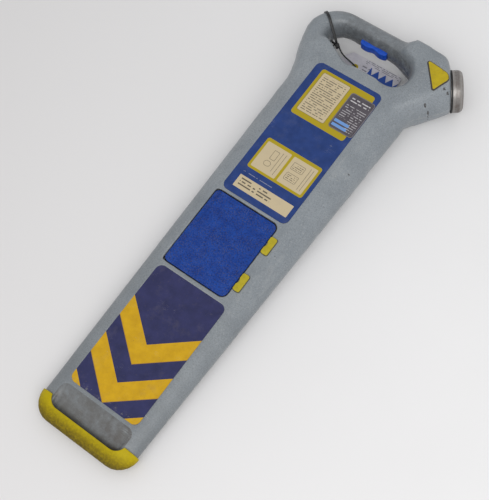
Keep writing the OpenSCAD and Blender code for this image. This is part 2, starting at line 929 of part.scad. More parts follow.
module pot(x) {
    difference() {
        union() {
            translate([x, knob_y, -7])
                cylinder(r = 5.6, h = 8, $fn = 48);
            translate([x, knob_y, 0])
                cylinder(r = 3.6, h = face_z, $fn = 40);
        }
        translate([x, knob_y, -4])
            cylinder(r = shaft_r + shaft_gap, h = 12, $fn = 40);
    }
}

module sensitivity_knob() {
    color([0.80, 0.74, 0.10])
        lay()
            on_nose()
                knob(-knob_x);
}

module function_knob() {
    color([0.08, 0.22, 0.60])
        lay()
            on_nose()
                knob(knob_x);
}

module sensitivity_pot() {
    color([0.55, 0.56, 0.58])
        lay()
            on_nose()
                pot(-knob_x);
}

module function_switch() {
    color([0.20, 0.22, 0.26])
        lay()
            on_nose()
                pot(knob_x);
}

module loudspeaker() {
    color([0.12, 0.12, 0.13])
        lay()
            on_rear()
                translate([speaker.x, speaker.y, wall])
                    rotate_extrude($fn = 72)
                        polygon([[speaker_r - 3, 0], [speaker_r, 0], [speaker_r, 2.4], [12, 8],
                            [12, 14], [0, 14],
                            [0, 5], [8, 5], [speaker_r - 3, 1.6]]);
}

// Tube along a closed path of points
module cord(p, r, n) {
    m = len(p);
    function frame(k) =
        let (d = p[(k + 1) % m] - p[(k + m - 1) % m])
        let (t = d / norm(d), g = abs(t.z) > 0.9 ? [0.6, 0.8, 0] : [0, 0, 1])
        let (u = cross(t, g) / norm(cross(t, g)))
        [u, cross(u, t)];
    points = [for (k = [0 : m - 1]) let (f = frame(k)) for (i = [0 : n - 1])
        p[k] + r * (f[0] * cos(360 * i / n) + f[1] * sin(360 * i / n))];
    faces = [for (k = [0 : m - 1]) for (i = [0 : n - 1])
        let (a = k * n + i, b = k * n + (i + 1) % n, s = (k + 1) % m * n)
        let (c = s + (i + 1) % n, d = s + i)
        each [[a, b, c], [a, c, d]]];
    polyhedron(points, faces);
}

// Strap loop round the corner of the carrying loop, drawn in the plane [outwards, z]
tie_gap = seat_gap + 0.25;
tie_a = 144;
tie_c = on_arc(tie_a, pillar_half + (bar_half - pillar_half) * 34 / 88,
    pillar_depth + (bar_depth - pillar_depth) * 34 / 88);
tie_w = tie_c[2] + tie_gap;
tie_d = tie_c[3] + tie_gap;
tie_t = 1.3;
tie_in = -33;
tie_turn = acos(tie_w / tie_in);
strap = concat([for (i = [-14 : 14]) let (a = tie_turn * i / 14) [tie_w * cos(a), tie_d * sin(a)]],
    [for (t = [0.14 : 0.12 : 0.95])
        [tie_w * cos(tie_turn), tie_d * sin(tie_turn)] * (1 - t) + [tie_in, 1.6] * t],
    [for (t = [0.05 : 0.12 : 0.95])
        [tie_in, -1.6] * (1 - t) + [tie_w * cos(tie_turn), -tie_d * sin(tie_turn)] * t]);

module bar_tie() {
    color([0.05, 0.05, 0.05])
        lay()
            translate([tie_c.x, tie_c.y, 0])
                rotate([0, 0, tie_a])
                    rotate([90, 0, 0]) {
                        translate([0, 0, -1.8])
                            linear_extrude(3.6)
                                difference() {
                                    offset(r = tie_t)
                                        polygon(strap);
                                    polygon(strap);
                                }
                        translate([0, 0, -2.6])
                            linear_extrude(5.2)
                                polygon([[tie_in - 4.4, -2.6], [tie_in + 1.4, -2.6], [tie_in + 1.4, 2.6],
                                    [tie_in - 4.4, 2.6]]);
                    }
}

// Tag lying on the table under the grip bar
tag_x0 = -56;
tag_x1 = 33;
tag_y0 = hole_y + 10;
tag_y1 = bar_low - 0.5;
tag_z0 = 3.1;
tag_t = 0.8;
hole_x = -32;
hole_off = (tag_y1 - tag_y0) / 2 + 1;
eyelet_r = 4.6;

module on_table() {
    translate([0, -origin_y, 0])
        children();
}

module tag_card() {
    color([0.86, 0.86, 0.92])
        on_table()
            difference() {
                translate([0, 0, tag_z0])
                    linear_extrude(tag_t)
                        polygon(outline([[tag_x0 + 9, tag_y0, 3], [tag_x1, tag_y0, 4], [tag_x1, tag_y1, 4],
                            [tag_x0 + 9, tag_y1, 3], [tag_x0, tag_y1 - 14, 3],
                            [tag_x0, tag_y0 + 14, 3]], 5));
                translate([hole_x, tag_y0 + hole_off, 0])
                    cylinder(r = 3.2, h = 8, $fn = 40);
            }
}

module tag_eyelet() {
    color([0.85, 0.76, 0.12])
        on_table()
            translate([hole_x, tag_y0 + hole_off, 0])
                rotate_extrude($fn = 48)
                    polygon([[2.2, tag_z0 - 0.5], [eyelet_r, tag_z0 - 0.5], [eyelet_r, tag_z0],
                        [3.2, tag_z0], [3.2, tag_z0 + tag_t], [eyelet_r, tag_z0 + tag_t],
                        [eyelet_r, tag_z0 + tag_t + 0.5], [2.2, tag_z0 + tag_t + 0.5]]);
}

// Second strap from the first one through the eyelet and round the edge of the tag
tie_end = [tie_c.x + (tie_in + 3.5) * cos(tie_a), tie_c.y + (tie_in + 3.5) * sin(tie_a)];
mid_z = half_t(tie_end.y);
strap_r = 1.05;
eye_y = tag_y0 + hole_off;
function at(u, v, z) = [tie_end.x - u * cos(tie_a) + v * sin(tie_a),
    tie_end.y - u * sin(tie_a) - v * cos(tie_a), mid_z + z];
tag_path = [at(-2, 0, -4.6), at(-2, 2.4, -5.2), at(-1.4, 3.6, -7.4), at(-0.6, 3.4, -11),
    [tag_x0 + 3, eye_y + 1.6, 14], [hole_x - 7, eye_y + 0.8, 8.4], [hole_x - 0.5, eye_y, 6],
    [hole_x, eye_y, 3], [hole_x - 1.3, eye_y - 0.1, 1.35], [hole_x - 7, eye_y - 0.6, 1.2],
    [tag_x0 + 2, eye_y - 1.2, 1.2], [tag_x0 - 2.2, eye_y - 1.4, 3.4], [tag_x0 - 2.4, eye_y - 1.4, 9],
    at(-0.6, -3.4, -11), at(-1.4, -3.6, -7.4), at(-2, -2.4, -5.2)];
function closed(p, n) =
    let (m = len(p))
    [for (i = [0 : m - 1]) for (k = [0 : n - 1])
        curve([p[(i + m - 1) % m], p[i], p[(i + 1) % m], p[(i + 2) % m]], 1, k / n)];

module tag_tie() {
    color([0.05, 0.05, 0.05])
        on_table()
            cord(closed(tag_path, 3), strap_r, 7);
}

front_shell();
rear_shell();
case_screws();
foot_bumper();
upper_label();
lower_label();
service_sticker();
triangle_sticker();
battery_door();
door_gasket();
hinge_pin();
upper_latch();
lower_latch();
battery_tray();
battery_cells();
battery_contacts();
main_board();
board_parts();
lower_ferrite();
lower_coil();
upper_ferrite();
upper_coil();
coil_brackets();
trigger();
trigger_switch();
nose_seal();
nose_bezel();
control_face();
meter_window();
meter_dial();
meter_needle();
meter_movement();
sensitivity_knob();
sensitivity_pot();
function_knob();
function_switch();
loudspeaker();
bar_tie();
tag_tie();
tag_card();
tag_eyelet();
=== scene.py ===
# %% [markdown]
# # A hand-held cable locator
# The instrument is a grey plastic blade in two halves, with a carrying loop, a blue finger trigger, a blue
# battery door, a yellow rubber foot and a bright ring on an angled nose. The CAD model gives every size.
# This lesson dresses that frame: soft moulded edges, printed labels, worn plastic and dull metal.

# %% Load the frame
import json
import math

import bmesh
import bpy
from mathutils import Matrix, Vector

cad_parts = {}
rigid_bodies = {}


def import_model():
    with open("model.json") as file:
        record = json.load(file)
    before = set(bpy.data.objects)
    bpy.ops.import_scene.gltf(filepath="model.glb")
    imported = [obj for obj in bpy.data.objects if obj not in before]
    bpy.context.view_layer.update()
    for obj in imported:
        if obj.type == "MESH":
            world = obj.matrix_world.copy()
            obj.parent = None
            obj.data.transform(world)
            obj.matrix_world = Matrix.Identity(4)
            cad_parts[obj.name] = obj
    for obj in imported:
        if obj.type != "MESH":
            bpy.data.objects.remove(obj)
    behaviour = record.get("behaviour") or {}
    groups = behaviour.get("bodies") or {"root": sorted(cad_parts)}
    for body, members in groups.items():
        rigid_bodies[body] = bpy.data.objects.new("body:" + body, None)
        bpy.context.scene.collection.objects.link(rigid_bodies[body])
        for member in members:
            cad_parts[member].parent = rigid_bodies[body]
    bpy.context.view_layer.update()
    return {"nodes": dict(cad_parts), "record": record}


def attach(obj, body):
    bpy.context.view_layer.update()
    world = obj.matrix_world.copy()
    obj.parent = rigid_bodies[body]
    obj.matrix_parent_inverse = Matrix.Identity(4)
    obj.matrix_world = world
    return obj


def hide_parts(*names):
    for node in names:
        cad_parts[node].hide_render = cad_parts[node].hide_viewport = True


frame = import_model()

nodes = frame["nodes"]
record = frame["record"]
body_of = {node: body for body, group in record["behaviour"]["bodies"].items() for node in group}
slot_of = {part["node"]: part["material_slot"] for part in record["subparts"]}

# %% [markdown]
# The blade tapers, and it lies on its rear face. Everything could be placed in the world's own coordinates,
# but a label or a screw is easier to find in the plane that carries it. So four frames are made, each one a
# matrix in metres: the seam between the halves, the front face, the rear face and the nose ring.

# %% Frames of the case
MM = 0.001
BLADE = 687 * MM
FOOT_HALF = 13.6 * MM
HEAD_HALF = 36 * MM
ORIGIN_UP = 300 * MM
NOSE_PLACE = (107 * MM, BLADE - 32 * MM, 0)
NOSE_TURN = math.radians(35)
LEAN = math.atan((HEAD_HALF - FOOT_HALF) / BLADE)


def shift(x, y, z):
    return Matrix.Translation((x, y, z))


def turn(angle, axis):
    return Matrix.Rotation(angle, 4, axis)


seam_frame = shift(0, -ORIGIN_UP, 0) @ turn(LEAN, "X") @ shift(0, 0, FOOT_HALF)
face_frame = seam_frame @ shift(0, 0, FOOT_HALF) @ turn(LEAN, "X")
rear_frame = seam_frame @ shift(0, 0, -FOOT_HALF) @ turn(-LEAN, "X")
nose_frame = seam_frame @ shift(*NOSE_PLACE) @ turn(NOSE_TURN, "Z") @ turn(math.pi / 2, "Y")
to_seam, to_face, to_nose = [each.inverted() for each in (seam_frame, face_frame, nose_frame)]
print("lean of the faces", round(math.degrees(2 * LEAN), 2), "degrees")

# %% [markdown]
# The camera looks down on the table, a little from the foot and from the right. It could be aimed by eye,
# but the photograph was measured against the front face, so the camera's place is written in the frame of
# that face.

# %% Camera
PHOTO_WIDTH, FOCAL_PIXELS, SENSOR = 489, 1100, 36
CAMERA_PLACE = (458.5 * MM, -16.5 * MM, 1258.2 * MM)
CAMERA_TURNS = ((33.75, "Z"), (22.15, "X"), (7.49, "Y"))
camera_data = bpy.data.cameras.new("photo_camera")
camera_data.sensor_fit = "HORIZONTAL"
camera_data.sensor_width = SENSOR
camera_data.lens = SENSOR * FOCAL_PIXELS / PHOTO_WIDTH
camera = bpy.data.objects.new("photo_camera", camera_data)
bpy.context.scene.collection.objects.link(camera)
stand = face_frame @ shift(*CAMERA_PLACE)
for degrees, axis in CAMERA_TURNS:
    stand = stand @ turn(math.radians(degrees), axis)
camera.matrix_world = stand
bpy.context.scene.camera = camera
bpy.context.scene.view_settings.view_transform = "Standard"
print("camera at", [round(c, 3) for c in stand.translation])

# %% [markdown]
# Shader maths reads best as plain expressions. Nodes could be linked one by one, as by hand in the shader
# editor, but a mask of ten steps would fill a page. So one small class wraps a socket: adding or
# multiplying two of them adds a Math node, and every other node comes from its one node method.

# %% Sockets with arithmetic
# A Mix node has sockets for each kind of data. These are its colour sockets.
COLOUR_LOW, COLOUR_HIGH, COLOUR_OUT = 6, 7, 2


class Flow:
    def __init__(self, tree, out=None):
        self.tree = tree
        self.out = out

    def node(self, kind, inputs=(), out=0, **settings):
        made = self.tree.nodes.new("ShaderNode" + kind)
        for name, value in settings.items():
            setattr(made, name, value)
        for key, value in dict(inputs).items():
            if isinstance(value, Flow):
                self.tree.links.new(value.out, made.inputs[key])
            else:
                made.inputs[key].default_value = value
        return Flow(self.tree, made.outputs[out] if made.outputs else None)

    def math(self, operation, a, b=0.0):
        return self.node("Math", {0: a, 1: b}, operation=operation)

    def __add__(self, other):
        return self.math("ADD", self, other)

    def __sub__(self, other):
        return self.math("SUBTRACT", self, other)

    def __rsub__(self, other):
        return self.math("SUBTRACT", other, self)

    def __mul__(self, other):
        return self.math("MULTIPLY", self, other)

    def __truediv__(self, other):
        return self.math("DIVIDE", self, other)

    def __rtruediv__(self, other):
        return self.math("DIVIDE", other, self)

    def __gt__(self, other):
        return self.math("GREATER_THAN", self, other)

    def __lt__(self, other):
        return self.math("LESS_THAN", self, other)

    def __abs__(self):
        return self.math("ABSOLUTE", self)

    def __mod__(self, other):
        return self.math("FLOORED_MODULO", self, other)

    __radd__ = __add__
    __rmul__ = __mul__

    def floor(self):
        return self.math("FLOOR", self)

    def angle(self, other):
        return self.math("ARCTAN2", self, other) * (180 / math.pi)

    def most(self, other):
        return self.math("MAXIMUM", self, other)

    def least(self, other):
        return self.math("MINIMUM", self, other)

    def fit(self, low, high, to_low=0.0, to_high=1.0):
        return self.node("MapRange", {0: self, 1: low, 2: high, 3: to_low, 4: to_high})

    def mix(self, low, high, mask):
        colours = {0: mask, COLOUR_LOW: low, COLOUR_HIGH: high}
        return self.node("Mix", colours, out=COLOUR_OUT, data_type="RGBA")

    def over(self, colour, mask):
        return self.mix(self, colour, mask)


def rgb(red, green, blue):
    return (red, green, blue, 1.0)


print("a socket can", ", ".join(name for name in vars(Flow) if not name.startswith("_")))

# %% [markdown]
# Every finish starts the same way: a Principled shader, and coordinates in millimetres in one of the frames
# above. A painted image could carry the prints, but a mask made from places and sizes stays sharp at any
# distance and needs no file. The methods are the marks that come back on many pieces: grain, scratches,
# panels and rows.

# %% Starting a finish
PER_METRE = 1000
finishes = {}


class Finish:
    def __init__(self, name, place_in=None, **constants):
        self.material = bpy.data.materials.new(name)
        self.material.use_nodes = True
        tree = self.material.node_tree
        tree.nodes.clear()
        self.flow = Flow(tree)
        shader = self.flow.node("BsdfPrincipled", {key.replace("_", " "): v for key, v in constants.items()})
        self.shader = shader.out.node
        self.flow.node("OutputMaterial", {"Surface": shader})
        back = (place_in or Matrix.Identity(4)).inverted()
        self.at = self.flow.node("Mapping", {
            "Vector": self.flow.node("TexCoord", out="Object"), "Scale": (PER_METRE, PER_METRE, PER_METRE),
            "Rotation": back.to_euler(), "Location": back.translation * PER_METRE})
        split = self.flow.node("SeparateXYZ", {0: self.at}).out.node
        self.x, self.y, self.z = [Flow(tree, socket) for socket in split.outputs]
        finishes[name] = self

    def mix(self, low, high, mask):
        return self.flow.mix(low, high, mask)

    def noise(self, size, detail=3.0, rough=0.55, stretch=(1, 1, 1), move=0.0, spin=0.0):
        where = self.flow.node("Mapping", {"Vector": self.at, "Location": (move, move, move),
                                           "Rotation": (0, 0, spin), "Scale": [s / size for s in stretch]})
        settings = {"Vector": where, "Scale": 1.0, "Detail": detail, "Roughness": rough}
        return self.flow.node("TexNoise", settings)

    def mottle(self, low, high, size, move=0.0):
        return self.mix(low, high, self.noise(size, 4.0, 0.6, move=move).fit(0.32, 0.68))

    def scratches(self, length, spin, move):
        lines = abs(self.noise(length, 0.0, 0.4, (1, 34, 1), move, spin) - 0.5) < 0.012
        return lines * self.noise(length * 1.3, 3.0, 0.6, move=move + 9).fit(0.62, 0.72)

    def specks(self, size, share, move=0.0):
        return self.noise(size, 2.0, 0.5, move=move).fit(share, share + 0.03)

    def edges(self, low, high):
        return self.flow.node("NewGeometry", out="Pointiness").fit(low, high)

    def panel(self, x0, y0, x1, y1, radius):
        right = (abs(self.x - (x0 + x1) / 2) - ((x1 - x0) / 2 - radius)).most(0)
        up = (abs(self.y - (y0 + y1) / 2) - ((y1 - y0) / 2 - radius)).most(0)
        return (right * right + up * up) < radius * radius

    def outline(self, x0, y0, x1, y1, radius, line):
        inner = self.panel(x0 + line, y0 + line, x1 - line, y1 - line, max(radius - line, 0.1))
        return self.panel(x0, y0, x1, y1, radius) - inner

    def print_rows(self, x0, y0, x1, y1, pitch, weight, word):
        row = (self.y / pitch).floor()
        stroke = abs(self.y / pitch - row - 0.5) < weight / 2
        where = self.flow.node("CombineXYZ", {0: self.x / word, 1: row * 7.31, 2: 0.0})
        gaps = self.flow.node("TexNoise", {"Vector": where, "Scale": 1.0, "Detail": 0.0}) > 0.43
        return stroke * gaps * self.panel(x0, y0, x1, y1, 0.3)

    def wire(self, **links):
        for key, value in links.items():
            self.flow.tree.links.new(value.out, self.shader.inputs[key.replace("_", " ")])

    def bump(self, height, depth, strength):
        self.wire(Normal=self.flow.node("Bump", {"Height": height, "Distance": depth, "Strength": strength}))


print("a finish can", ", ".join(name for name in vars(Finish) if not name.startswith("_")))

# %% [markdown]
# The table is a plain pale sheet. One white would do, but the table grows brighter towards the right, so a
# painted light mixes a dim and a bright pale tone across it over almost two metres, wide enough that no view
# shows where they end.

# %% Table
TABLE_SIZE, TABLE_DROP = 6, 0.4 * MM
DIM_PAPER, BRIGHT_PAPER = rgb(0.62, 0.60, 0.595), rgb(0.95, 0.95, 0.955)
bpy.ops.object.select_all(action="DESELECT")
bpy.ops.mesh.primitive_plane_add(size=TABLE_SIZE, location=(0, 0, -TABLE_DROP))
table = bpy.context.object
table.name = "table"
table_finish = Finish("table_sheet", Roughness=0.75)
# painted light: the table's colour grows brighter towards the right
across = table_finish.x * 0.83 + table_finish.y * 0.56
paper = table_finish.mix(DIM_PAPER, BRIGHT_PAPER, across.fit(-900, 900))
paper = paper.over(rgb(0.74, 0.735, 0.73), table_finish.noise(260, 3.0).fit(0.35, 0.75) * 0.2)
table_finish.wire(Base_Color=paper)
table_finish.bump(table_finish.noise(1.6, 3.0), 0.1 * MM, 0.3)
table.data.materials.append(table_finish.material)
print("table of", TABLE_SIZE, "metres,", TABLE_DROP / MM, "mm below the rear face")

# %% [markdown]
# The light is that of a plain room. A sun would draw hard shadows, so two large discs are used: one on the
# right, where the table is brightest, and one over the foot. The world fills the rest evenly. Camera, gloss
# and glass see it paler than it lights, so that the backdrop is pale without more light on the object.

# %% Light
SKY_LIGHT, SKY_SEEN = 0.63, 0.86
world = bpy.data.worlds.new("soft_room")
bpy.context.scene.world = world
world.use_nodes = True
world.node_tree.nodes.clear()
sky = Flow(world.node_tree)
seen = sky.node("LightPath", out="Is Camera Ray").most(sky.node("LightPath", out="Is Glossy Ray"))
seen = seen.most(sky.node("LightPath", out="Is Transmission Ray"))
strength = seen.fit(0, 1, SKY_LIGHT, SKY_SEEN)
backdrop = sky.node("Background", {"Color": rgb(0.985, 0.99, 1.0), "Strength": strength})
sky.node("OutputWorld", {"Surface": backdrop})


def lamp(name, place, aim, size, power, colour):
    data = bpy.data.lights.new(name, "AREA")
    data.shape = "DISK"
    data.size = size
    data.energy = power
    data.color = colour
    made = bpy.data.objects.new(name, data)
    bpy.context.scene.collection.objects.link(made)
    made.location = place
    made.rotation_euler = (Vector(aim) - Vector(place)).to_track_quat("-Z", "Y").to_euler()
    print(name, "gives", power, "watts over", size, "metres")


lamp("window_right", (1.3, -0.85, 1.9), (0.05, 0.0, 0), 1.9, 19, (1.0, 0.99, 0.975))
lamp("ceiling", (0.3, -1.5, 2.2), (0, 0, 0), 2.0, 15, (0.97, 0.985, 1.0))

# %% [markdown]
# ## The moulded case
# The real halves are soft: blade, loop and head run into each other with wide fillets, which a CAD union
# leaves as sharp valleys. A bevel can't follow such valleys, so the outside of both CAD halves is copied,
# closed and remeshed into one even skin. First come the small helpers: select, copy, enter and leave edit
# mode, apply a modifier, even out a skin, hand over.

# %% Helpers for pieces
HALF_WAY = 0.5


def only(*chosen):
    bpy.ops.object.select_all(action="DESELECT")
    for piece in chosen:
        piece.select_set(True)
    bpy.context.view_layer.objects.active = chosen[0]


def copy_node(node, name):
    piece = bpy.data.objects.new(name, nodes[node].data.copy())
    bpy.context.scene.collection.objects.link(piece)
    piece.data.materials.clear()
    return piece


def edit(piece, mode="VERT", start="DESELECT"):
    only(piece)
    bpy.context.tool_settings.mesh_select_mode = [mode == kind for kind in ("VERT", "EDGE", "FACE")]
    bpy.ops.object.mode_set(mode="EDIT")
    if start:
        bpy.ops.mesh.select_all(action=start)


def done():
    bpy.ops.object.mode_set(mode="OBJECT")


def merge(piece, gap=0.01 * MM):
    edit(piece, start="SELECT")
    bpy.ops.mesh.remove_doubles(threshold=gap)
    done()


def apply(piece, modifier):
    only(piece)
    bpy.ops.object.modifier_apply(modifier=modifier.name)


def even_skin(piece, cell, passes):
    piece.data.remesh_voxel_size = cell
    only(piece)
    bpy.ops.object.voxel_remesh()
    edit(piece, start="SELECT")
    bpy.ops.mesh.vertices_smooth(factor=HALF_WAY, repeat=passes)
    done()


def smooth(piece, crease):
    only(piece)
    bpy.ops.object.shade_smooth_by_angle(angle=math.radians(crease))


def place(piece, body, slot, *replaced):
    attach(piece, body)
    if replaced:
        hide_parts(*replaced)


for node in ("front_shell", "rear_shell"):
    print(node, "comes with", len(nodes[node].data.polygons), "triangles")

# %% [markdown]
# Only the outside of each half is wanted. Faces could be picked by hand, but a ray does it: a face that
# meets the half's own plastic on its way out lies inside. Sunken seats and screw bores go too, since they
# are cut again later.

# %% Outside of the two halves
SCREW_ROWS, SCREW_IN, SCREW_BORE = (70, 236, 368, 520), 14 * MM, 4.3 * MM
FOOT_WIDTH, NECK_WIDTH, NECK_UP = 145.4 * MM, 174 * MM, 575 * MM
SEATS_HALF, SEATS_FROM, SEATS_TO, SUNK = 54.6 * MM, 57 * MM, 601 * MM, 0.05 * MM
RAY_START = 0.03 * MM


def half_width(up):
    return (FOOT_WIDTH + (NECK_WIDTH - FOOT_WIDTH) * up / NECK_UP) / 2


screw_places = [Vector((side * (half_width(row * MM) - SCREW_IN), row * MM, 0))
                for row in SCREW_ROWS for side in (-1, 1)]


def outer_half(node, side, flat):
    piece = copy_node(node, node + "_skin")
    bpy.context.view_layer.update()
    outwards = seam_frame.to_3x3() @ Vector((0, 0, side))
    to_flat = flat.inverted()
    for face in piece.data.polygons:
        covered = piece.ray_cast(face.center + face.normal * RAY_START, outwards)[0]
        spot, level = to_flat @ face.center, to_seam @ face.center
        over_seats = abs(spot.x) < SEATS_HALF and SEATS_FROM < spot.y < SEATS_TO
        inset = over_seats and side * spot.z < -SUNK
        bored = any((level - p).xy.length < SCREW_BORE for p in screw_places)
        face.select = bool(covered or inset or bored)
    edit(piece, "FACE", start=None)
    bpy.ops.mesh.delete(type="FACE")
    done()
    print(node, "keeps", len(piece.data.polygons), "outer faces")
    return piece


case_skin = outer_half("front_shell", 1, face_frame)
only(case_skin, outer_half("rear_shell", -1, rear_frame))
bpy.ops.object.join()

# %% [markdown]
# The two outsides now meet along the seam. Merging their points sews them together, and filling the holes
# closes the openings, because a voxel remesh needs a body without leaks. The count of open edges shows if
# that worked.

# %% One closed body
SEWN = 0.02 * MM
merge(case_skin, SEWN)
edit(case_skin, "EDGE")
bpy.ops.mesh.select_non_manifold()
bpy.ops.mesh.fill_holes(sides=0)
bpy.ops.mesh.select_all(action="SELECT")
bpy.ops.mesh.normals_make_consistent(inside=False)
bpy.ops.mesh.select_all(action="DESELECT")
bpy.ops.mesh.select_non_manifold()
done()
print("open edges left in the skin:", sum(e.select for e in case_skin.data.edges))

# %% [markdown]
# The remesh lays an even net of small squares over the body. Smoothing all of it would shrink the blade, so
# only the valleys of loop and head are picked, by the angle of their edges, and melted into fillets. The
# cheek beside the nose is one broad curve on the real case and gets a longer smoothing. The flat faces stay
# where CAD puts them.

# %% Even skin with soft valleys
SKIN_CELL, SKIN_PASSES, VALLEY_PASSES, CHEEK_PASSES = 2.2 * MM, 3, 30, 70
VALLEYS_FROM, VALLEY_ANGLE, VALLEY_WIDTH = 460 * MM, -0.05, 5
CHEEK_X, CHEEK_Y, CHEEK_Z, NOSE_CLEAR = 56 * MM, (540 * MM, 670 * MM), 4 * MM, -6 * MM
even_skin(case_skin, SKIN_CELL, SKIN_PASSES)
edit(case_skin)
skin_mesh = bmesh.from_edit_mesh(case_skin.data)
for edge in skin_mesh.edges:
    middle = to_seam @ ((edge.verts[0].co + edge.verts[1].co) / 2)
    if middle.y > VALLEYS_FROM and len(edge.link_faces) == 2:
        if edge.calc_face_angle_signed() < VALLEY_ANGLE:
            edge.select_set(True)
bmesh.update_edit_mesh(case_skin.data)
for grow in range(VALLEY_WIDTH):
    bpy.ops.mesh.select_more()
bpy.ops.mesh.vertices_smooth(factor=HALF_WAY, repeat=VALLEY_PASSES)
bpy.ops.mesh.select_all(action="DESELECT")
skin_mesh = bmesh.from_edit_mesh(case_skin.data)
for vert in skin_mesh.verts:
    level = to_seam @ vert.co
    cheek = level.x > CHEEK_X and CHEEK_Y[0] < level.y < CHEEK_Y[1] and level.z > CHEEK_Z
    vert.select_set(cheek and (to_nose @ vert.co).z < NOSE_CLEAR)
skin_mesh.select_flush_mode()
bmesh.update_edit_mesh(case_skin.data)
bpy.ops.mesh.vertices_smooth(factor=HALF_WAY, repeat=CHEEK_PASSES)
done()
print("case skin has", len(case_skin.data.polygons), "faces")

# %% [markdown]
# The real case is two mouldings, and a fine parting line runs round it. A drawn line would look flat from
# the side, so the skin is split at the seam with a hair of a gap, and each half gets the wall thickness of
# the CAD shell.

# %% Two walls
WALL = 3 * MM
PARTING = 0.15 * MM


def half_wall(name, side):
    piece = bpy.data.objects.new(name, case_skin.data.copy())
    bpy.context.scene.collection.objects.link(piece)
    edit(piece, start="SELECT")
    normal = seam_frame.to_3x3() @ Vector((0, 0, side))
    level = seam_frame @ Vector((0, 0, side * PARTING))
    bpy.ops.mesh.bisect(plane_co=level, plane_no=normal, clear_inner=True)
    done()
    wall = piece.modifiers.new("wall", "SOLIDIFY")
    wall.thickness = WALL
    wall.offset = -1
    apply(piece, wall)
    print(name, "has", len(piece.data.polygons), "faces with its wall")
    return piece


front_half = half_wall("front_half", 1)
rear_half = half_wall("rear_half", -1)
bpy.data.objects.remove(case_skin)

# %% [markdown]
# Openings are cut with solids, as a toolmaker blocks them out with steel. Deleting faces would leave ragged
# edges on the even net, while a Boolean modifier cuts clean through the squares. Two shapes are enough: a
# block with rounded corners and a rod, both sized in millimetres of one of the frames.


# %% Cutting solids
def block(name, low, high, home, radius=0.0, steps=4):
    bpy.ops.object.select_all(action="DESELECT")
    bpy.ops.mesh.primitive_cube_add(size=1)
    piece = bpy.context.object
    piece.name = name
    low, high = Vector(low) * MM, Vector(high) * MM
    middle, size = (low + high) / 2, high - low
    piece.data.transform(shift(*middle) @ Matrix.Diagonal((*size, 1)))
    if radius:
        edit(piece, "EDGE")
        sides = bmesh.from_edit_mesh(piece.data)
        for edge in sides.edges:
            edge.select_set(abs((edge.verts[0].co - edge.verts[1].co).z) > 0.9 * size.z)
        bmesh.update_edit_mesh(piece.data)
        bpy.ops.mesh.bevel(offset=radius * MM, segments=steps, affect="EDGES")
        done()
    piece.data.transform(home)
    return piece


def rod(name, radius, low, high, at, home, sides=32):
    bpy.ops.object.select_all(action="DESELECT")
    bpy.ops.mesh.primitive_cylinder_add(vertices=sides, radius=radius * MM, depth=(high - low) * MM)
    piece = bpy.context.object
    piece.name = name
    piece.data.transform(home @ shift(at[0] * MM, at[1] * MM, (low + high) / 2 * MM))
    return piece


def carve(piece, cutters, operation="DIFFERENCE"):
    for cutter in cutters:
        cut = piece.modifiers.new("cut", "BOOLEAN")
        cut.operation = operation
        cut.solver = "MANIFOLD"
        cut.object = cutter
        apply(piece, cut)
        bpy.data.objects.remove(cutter)
    print(piece.name, "after", len(cutters), "cuts of", operation.lower(), len(piece.data.polygons), "faces")


# %% [markdown]
# The front half carries the door, two latches and two label seats, and shares the trigger slot and the nose
# bore with the rear. The room for the hinge could be one block with the door opening, but its corners are
# tighter. It stands a hair inside the opening, because cutters with flush sides leave pinched edges.

# %% Openings of the front half
OPEN_X, OPEN_Y = (-55.8, 43.2), (243.2, 360.6)
HINGE_TO, STEP = -32, 0.03
LATCH_X, LATCH_Y, LATCH_HALF = (44.85, 52.05), (272.4, 330.9), 7.35
THROUGH, SEAT = (-9, 9), (-0.4, 5)


def face_cut(name, x, y, z, radius=0.0, steps=4):
    return block(name, (x[0], y[0], z[0]), (x[1], y[1], z[1]), face_frame, radius, steps)


def shared_cuts():
    slot = block("trigger_slot", (-34.85, 635.5, -6.85), (6.85, 665.5, 6.85), seam_frame)
    return [slot, rod("nose_bore", 24.55, -30, 30, (0, 0), nose_frame, 72)]


hinge_x, hinge_y = (OPEN_X[0] + STEP, HINGE_TO), (OPEN_Y[0] + STEP, OPEN_Y[1] - STEP)
front_cuts = [face_cut("door_opening", OPEN_X, OPEN_Y, THROUGH, 9.2, 8),
              face_cut("hinge_room", hinge_x, hinge_y, THROUGH, 4, 5)]
front_cuts += shared_cuts()
front_cuts += [face_cut("lower_seat", (-53.15, 53.15), (55.85, 237.15), SEAT, 9, 8),
               face_cut("upper_seat", (-53.15, 48.95), (364.95, 584.15), SEAT, 9, 8)]
for row in LATCH_Y:
    front_cuts.append(face_cut("latch_slot", LATCH_X, (row - LATCH_HALF, row + LATCH_HALF), THROUGH))
carve(front_half, front_cuts)

# %% [markdown]
# The rear half has seven sound slots over the loudspeaker and eight screws in sunken seats. The screws need
# something to hold, so posts are added to the wall first and the seats are bored into them afterwards, as
# in the real moulding. The slots get shorter towards the ends of the row, which makes the patch round.

# %% Openings of the rear half
SPEAKER_X, SPEAKER_Y = 22, 561
SLOT_REACH, SLOT_SHORTER, SLOT_PITCH, SLOT_HALF = 15, 2.4, 4.4, 0.9
POST, POST_DEEP, SCREW_SEAT = 5.4, 0.62, 3.9
rear_cuts = shared_cuts()
for step in range(-3, 4):
    reach = SLOT_REACH - abs(step) * SLOT_SHORTER
    middle = SPEAKER_Y + step * SLOT_PITCH
    rear_cuts.append(block("sound_slot", (SPEAKER_X - reach, middle - SLOT_HALF, -5),
                           (SPEAKER_X + reach, middle + SLOT_HALF, 6), rear_frame, 0.85))
posts = []
for p in screw_places:
    spot = (p.x / MM, p.y / MM)
    deep = (FOOT_HALF + (HEAD_HALF - FOOT_HALF) * p.y / BLADE) / MM
    posts.append(rod("screw_post", POST, -deep * POST_DEEP, -0.2, spot, seam_frame))
    rear_cuts.append(rod("screw_seat", SCREW_SEAT, -60, -6, spot, seam_frame))
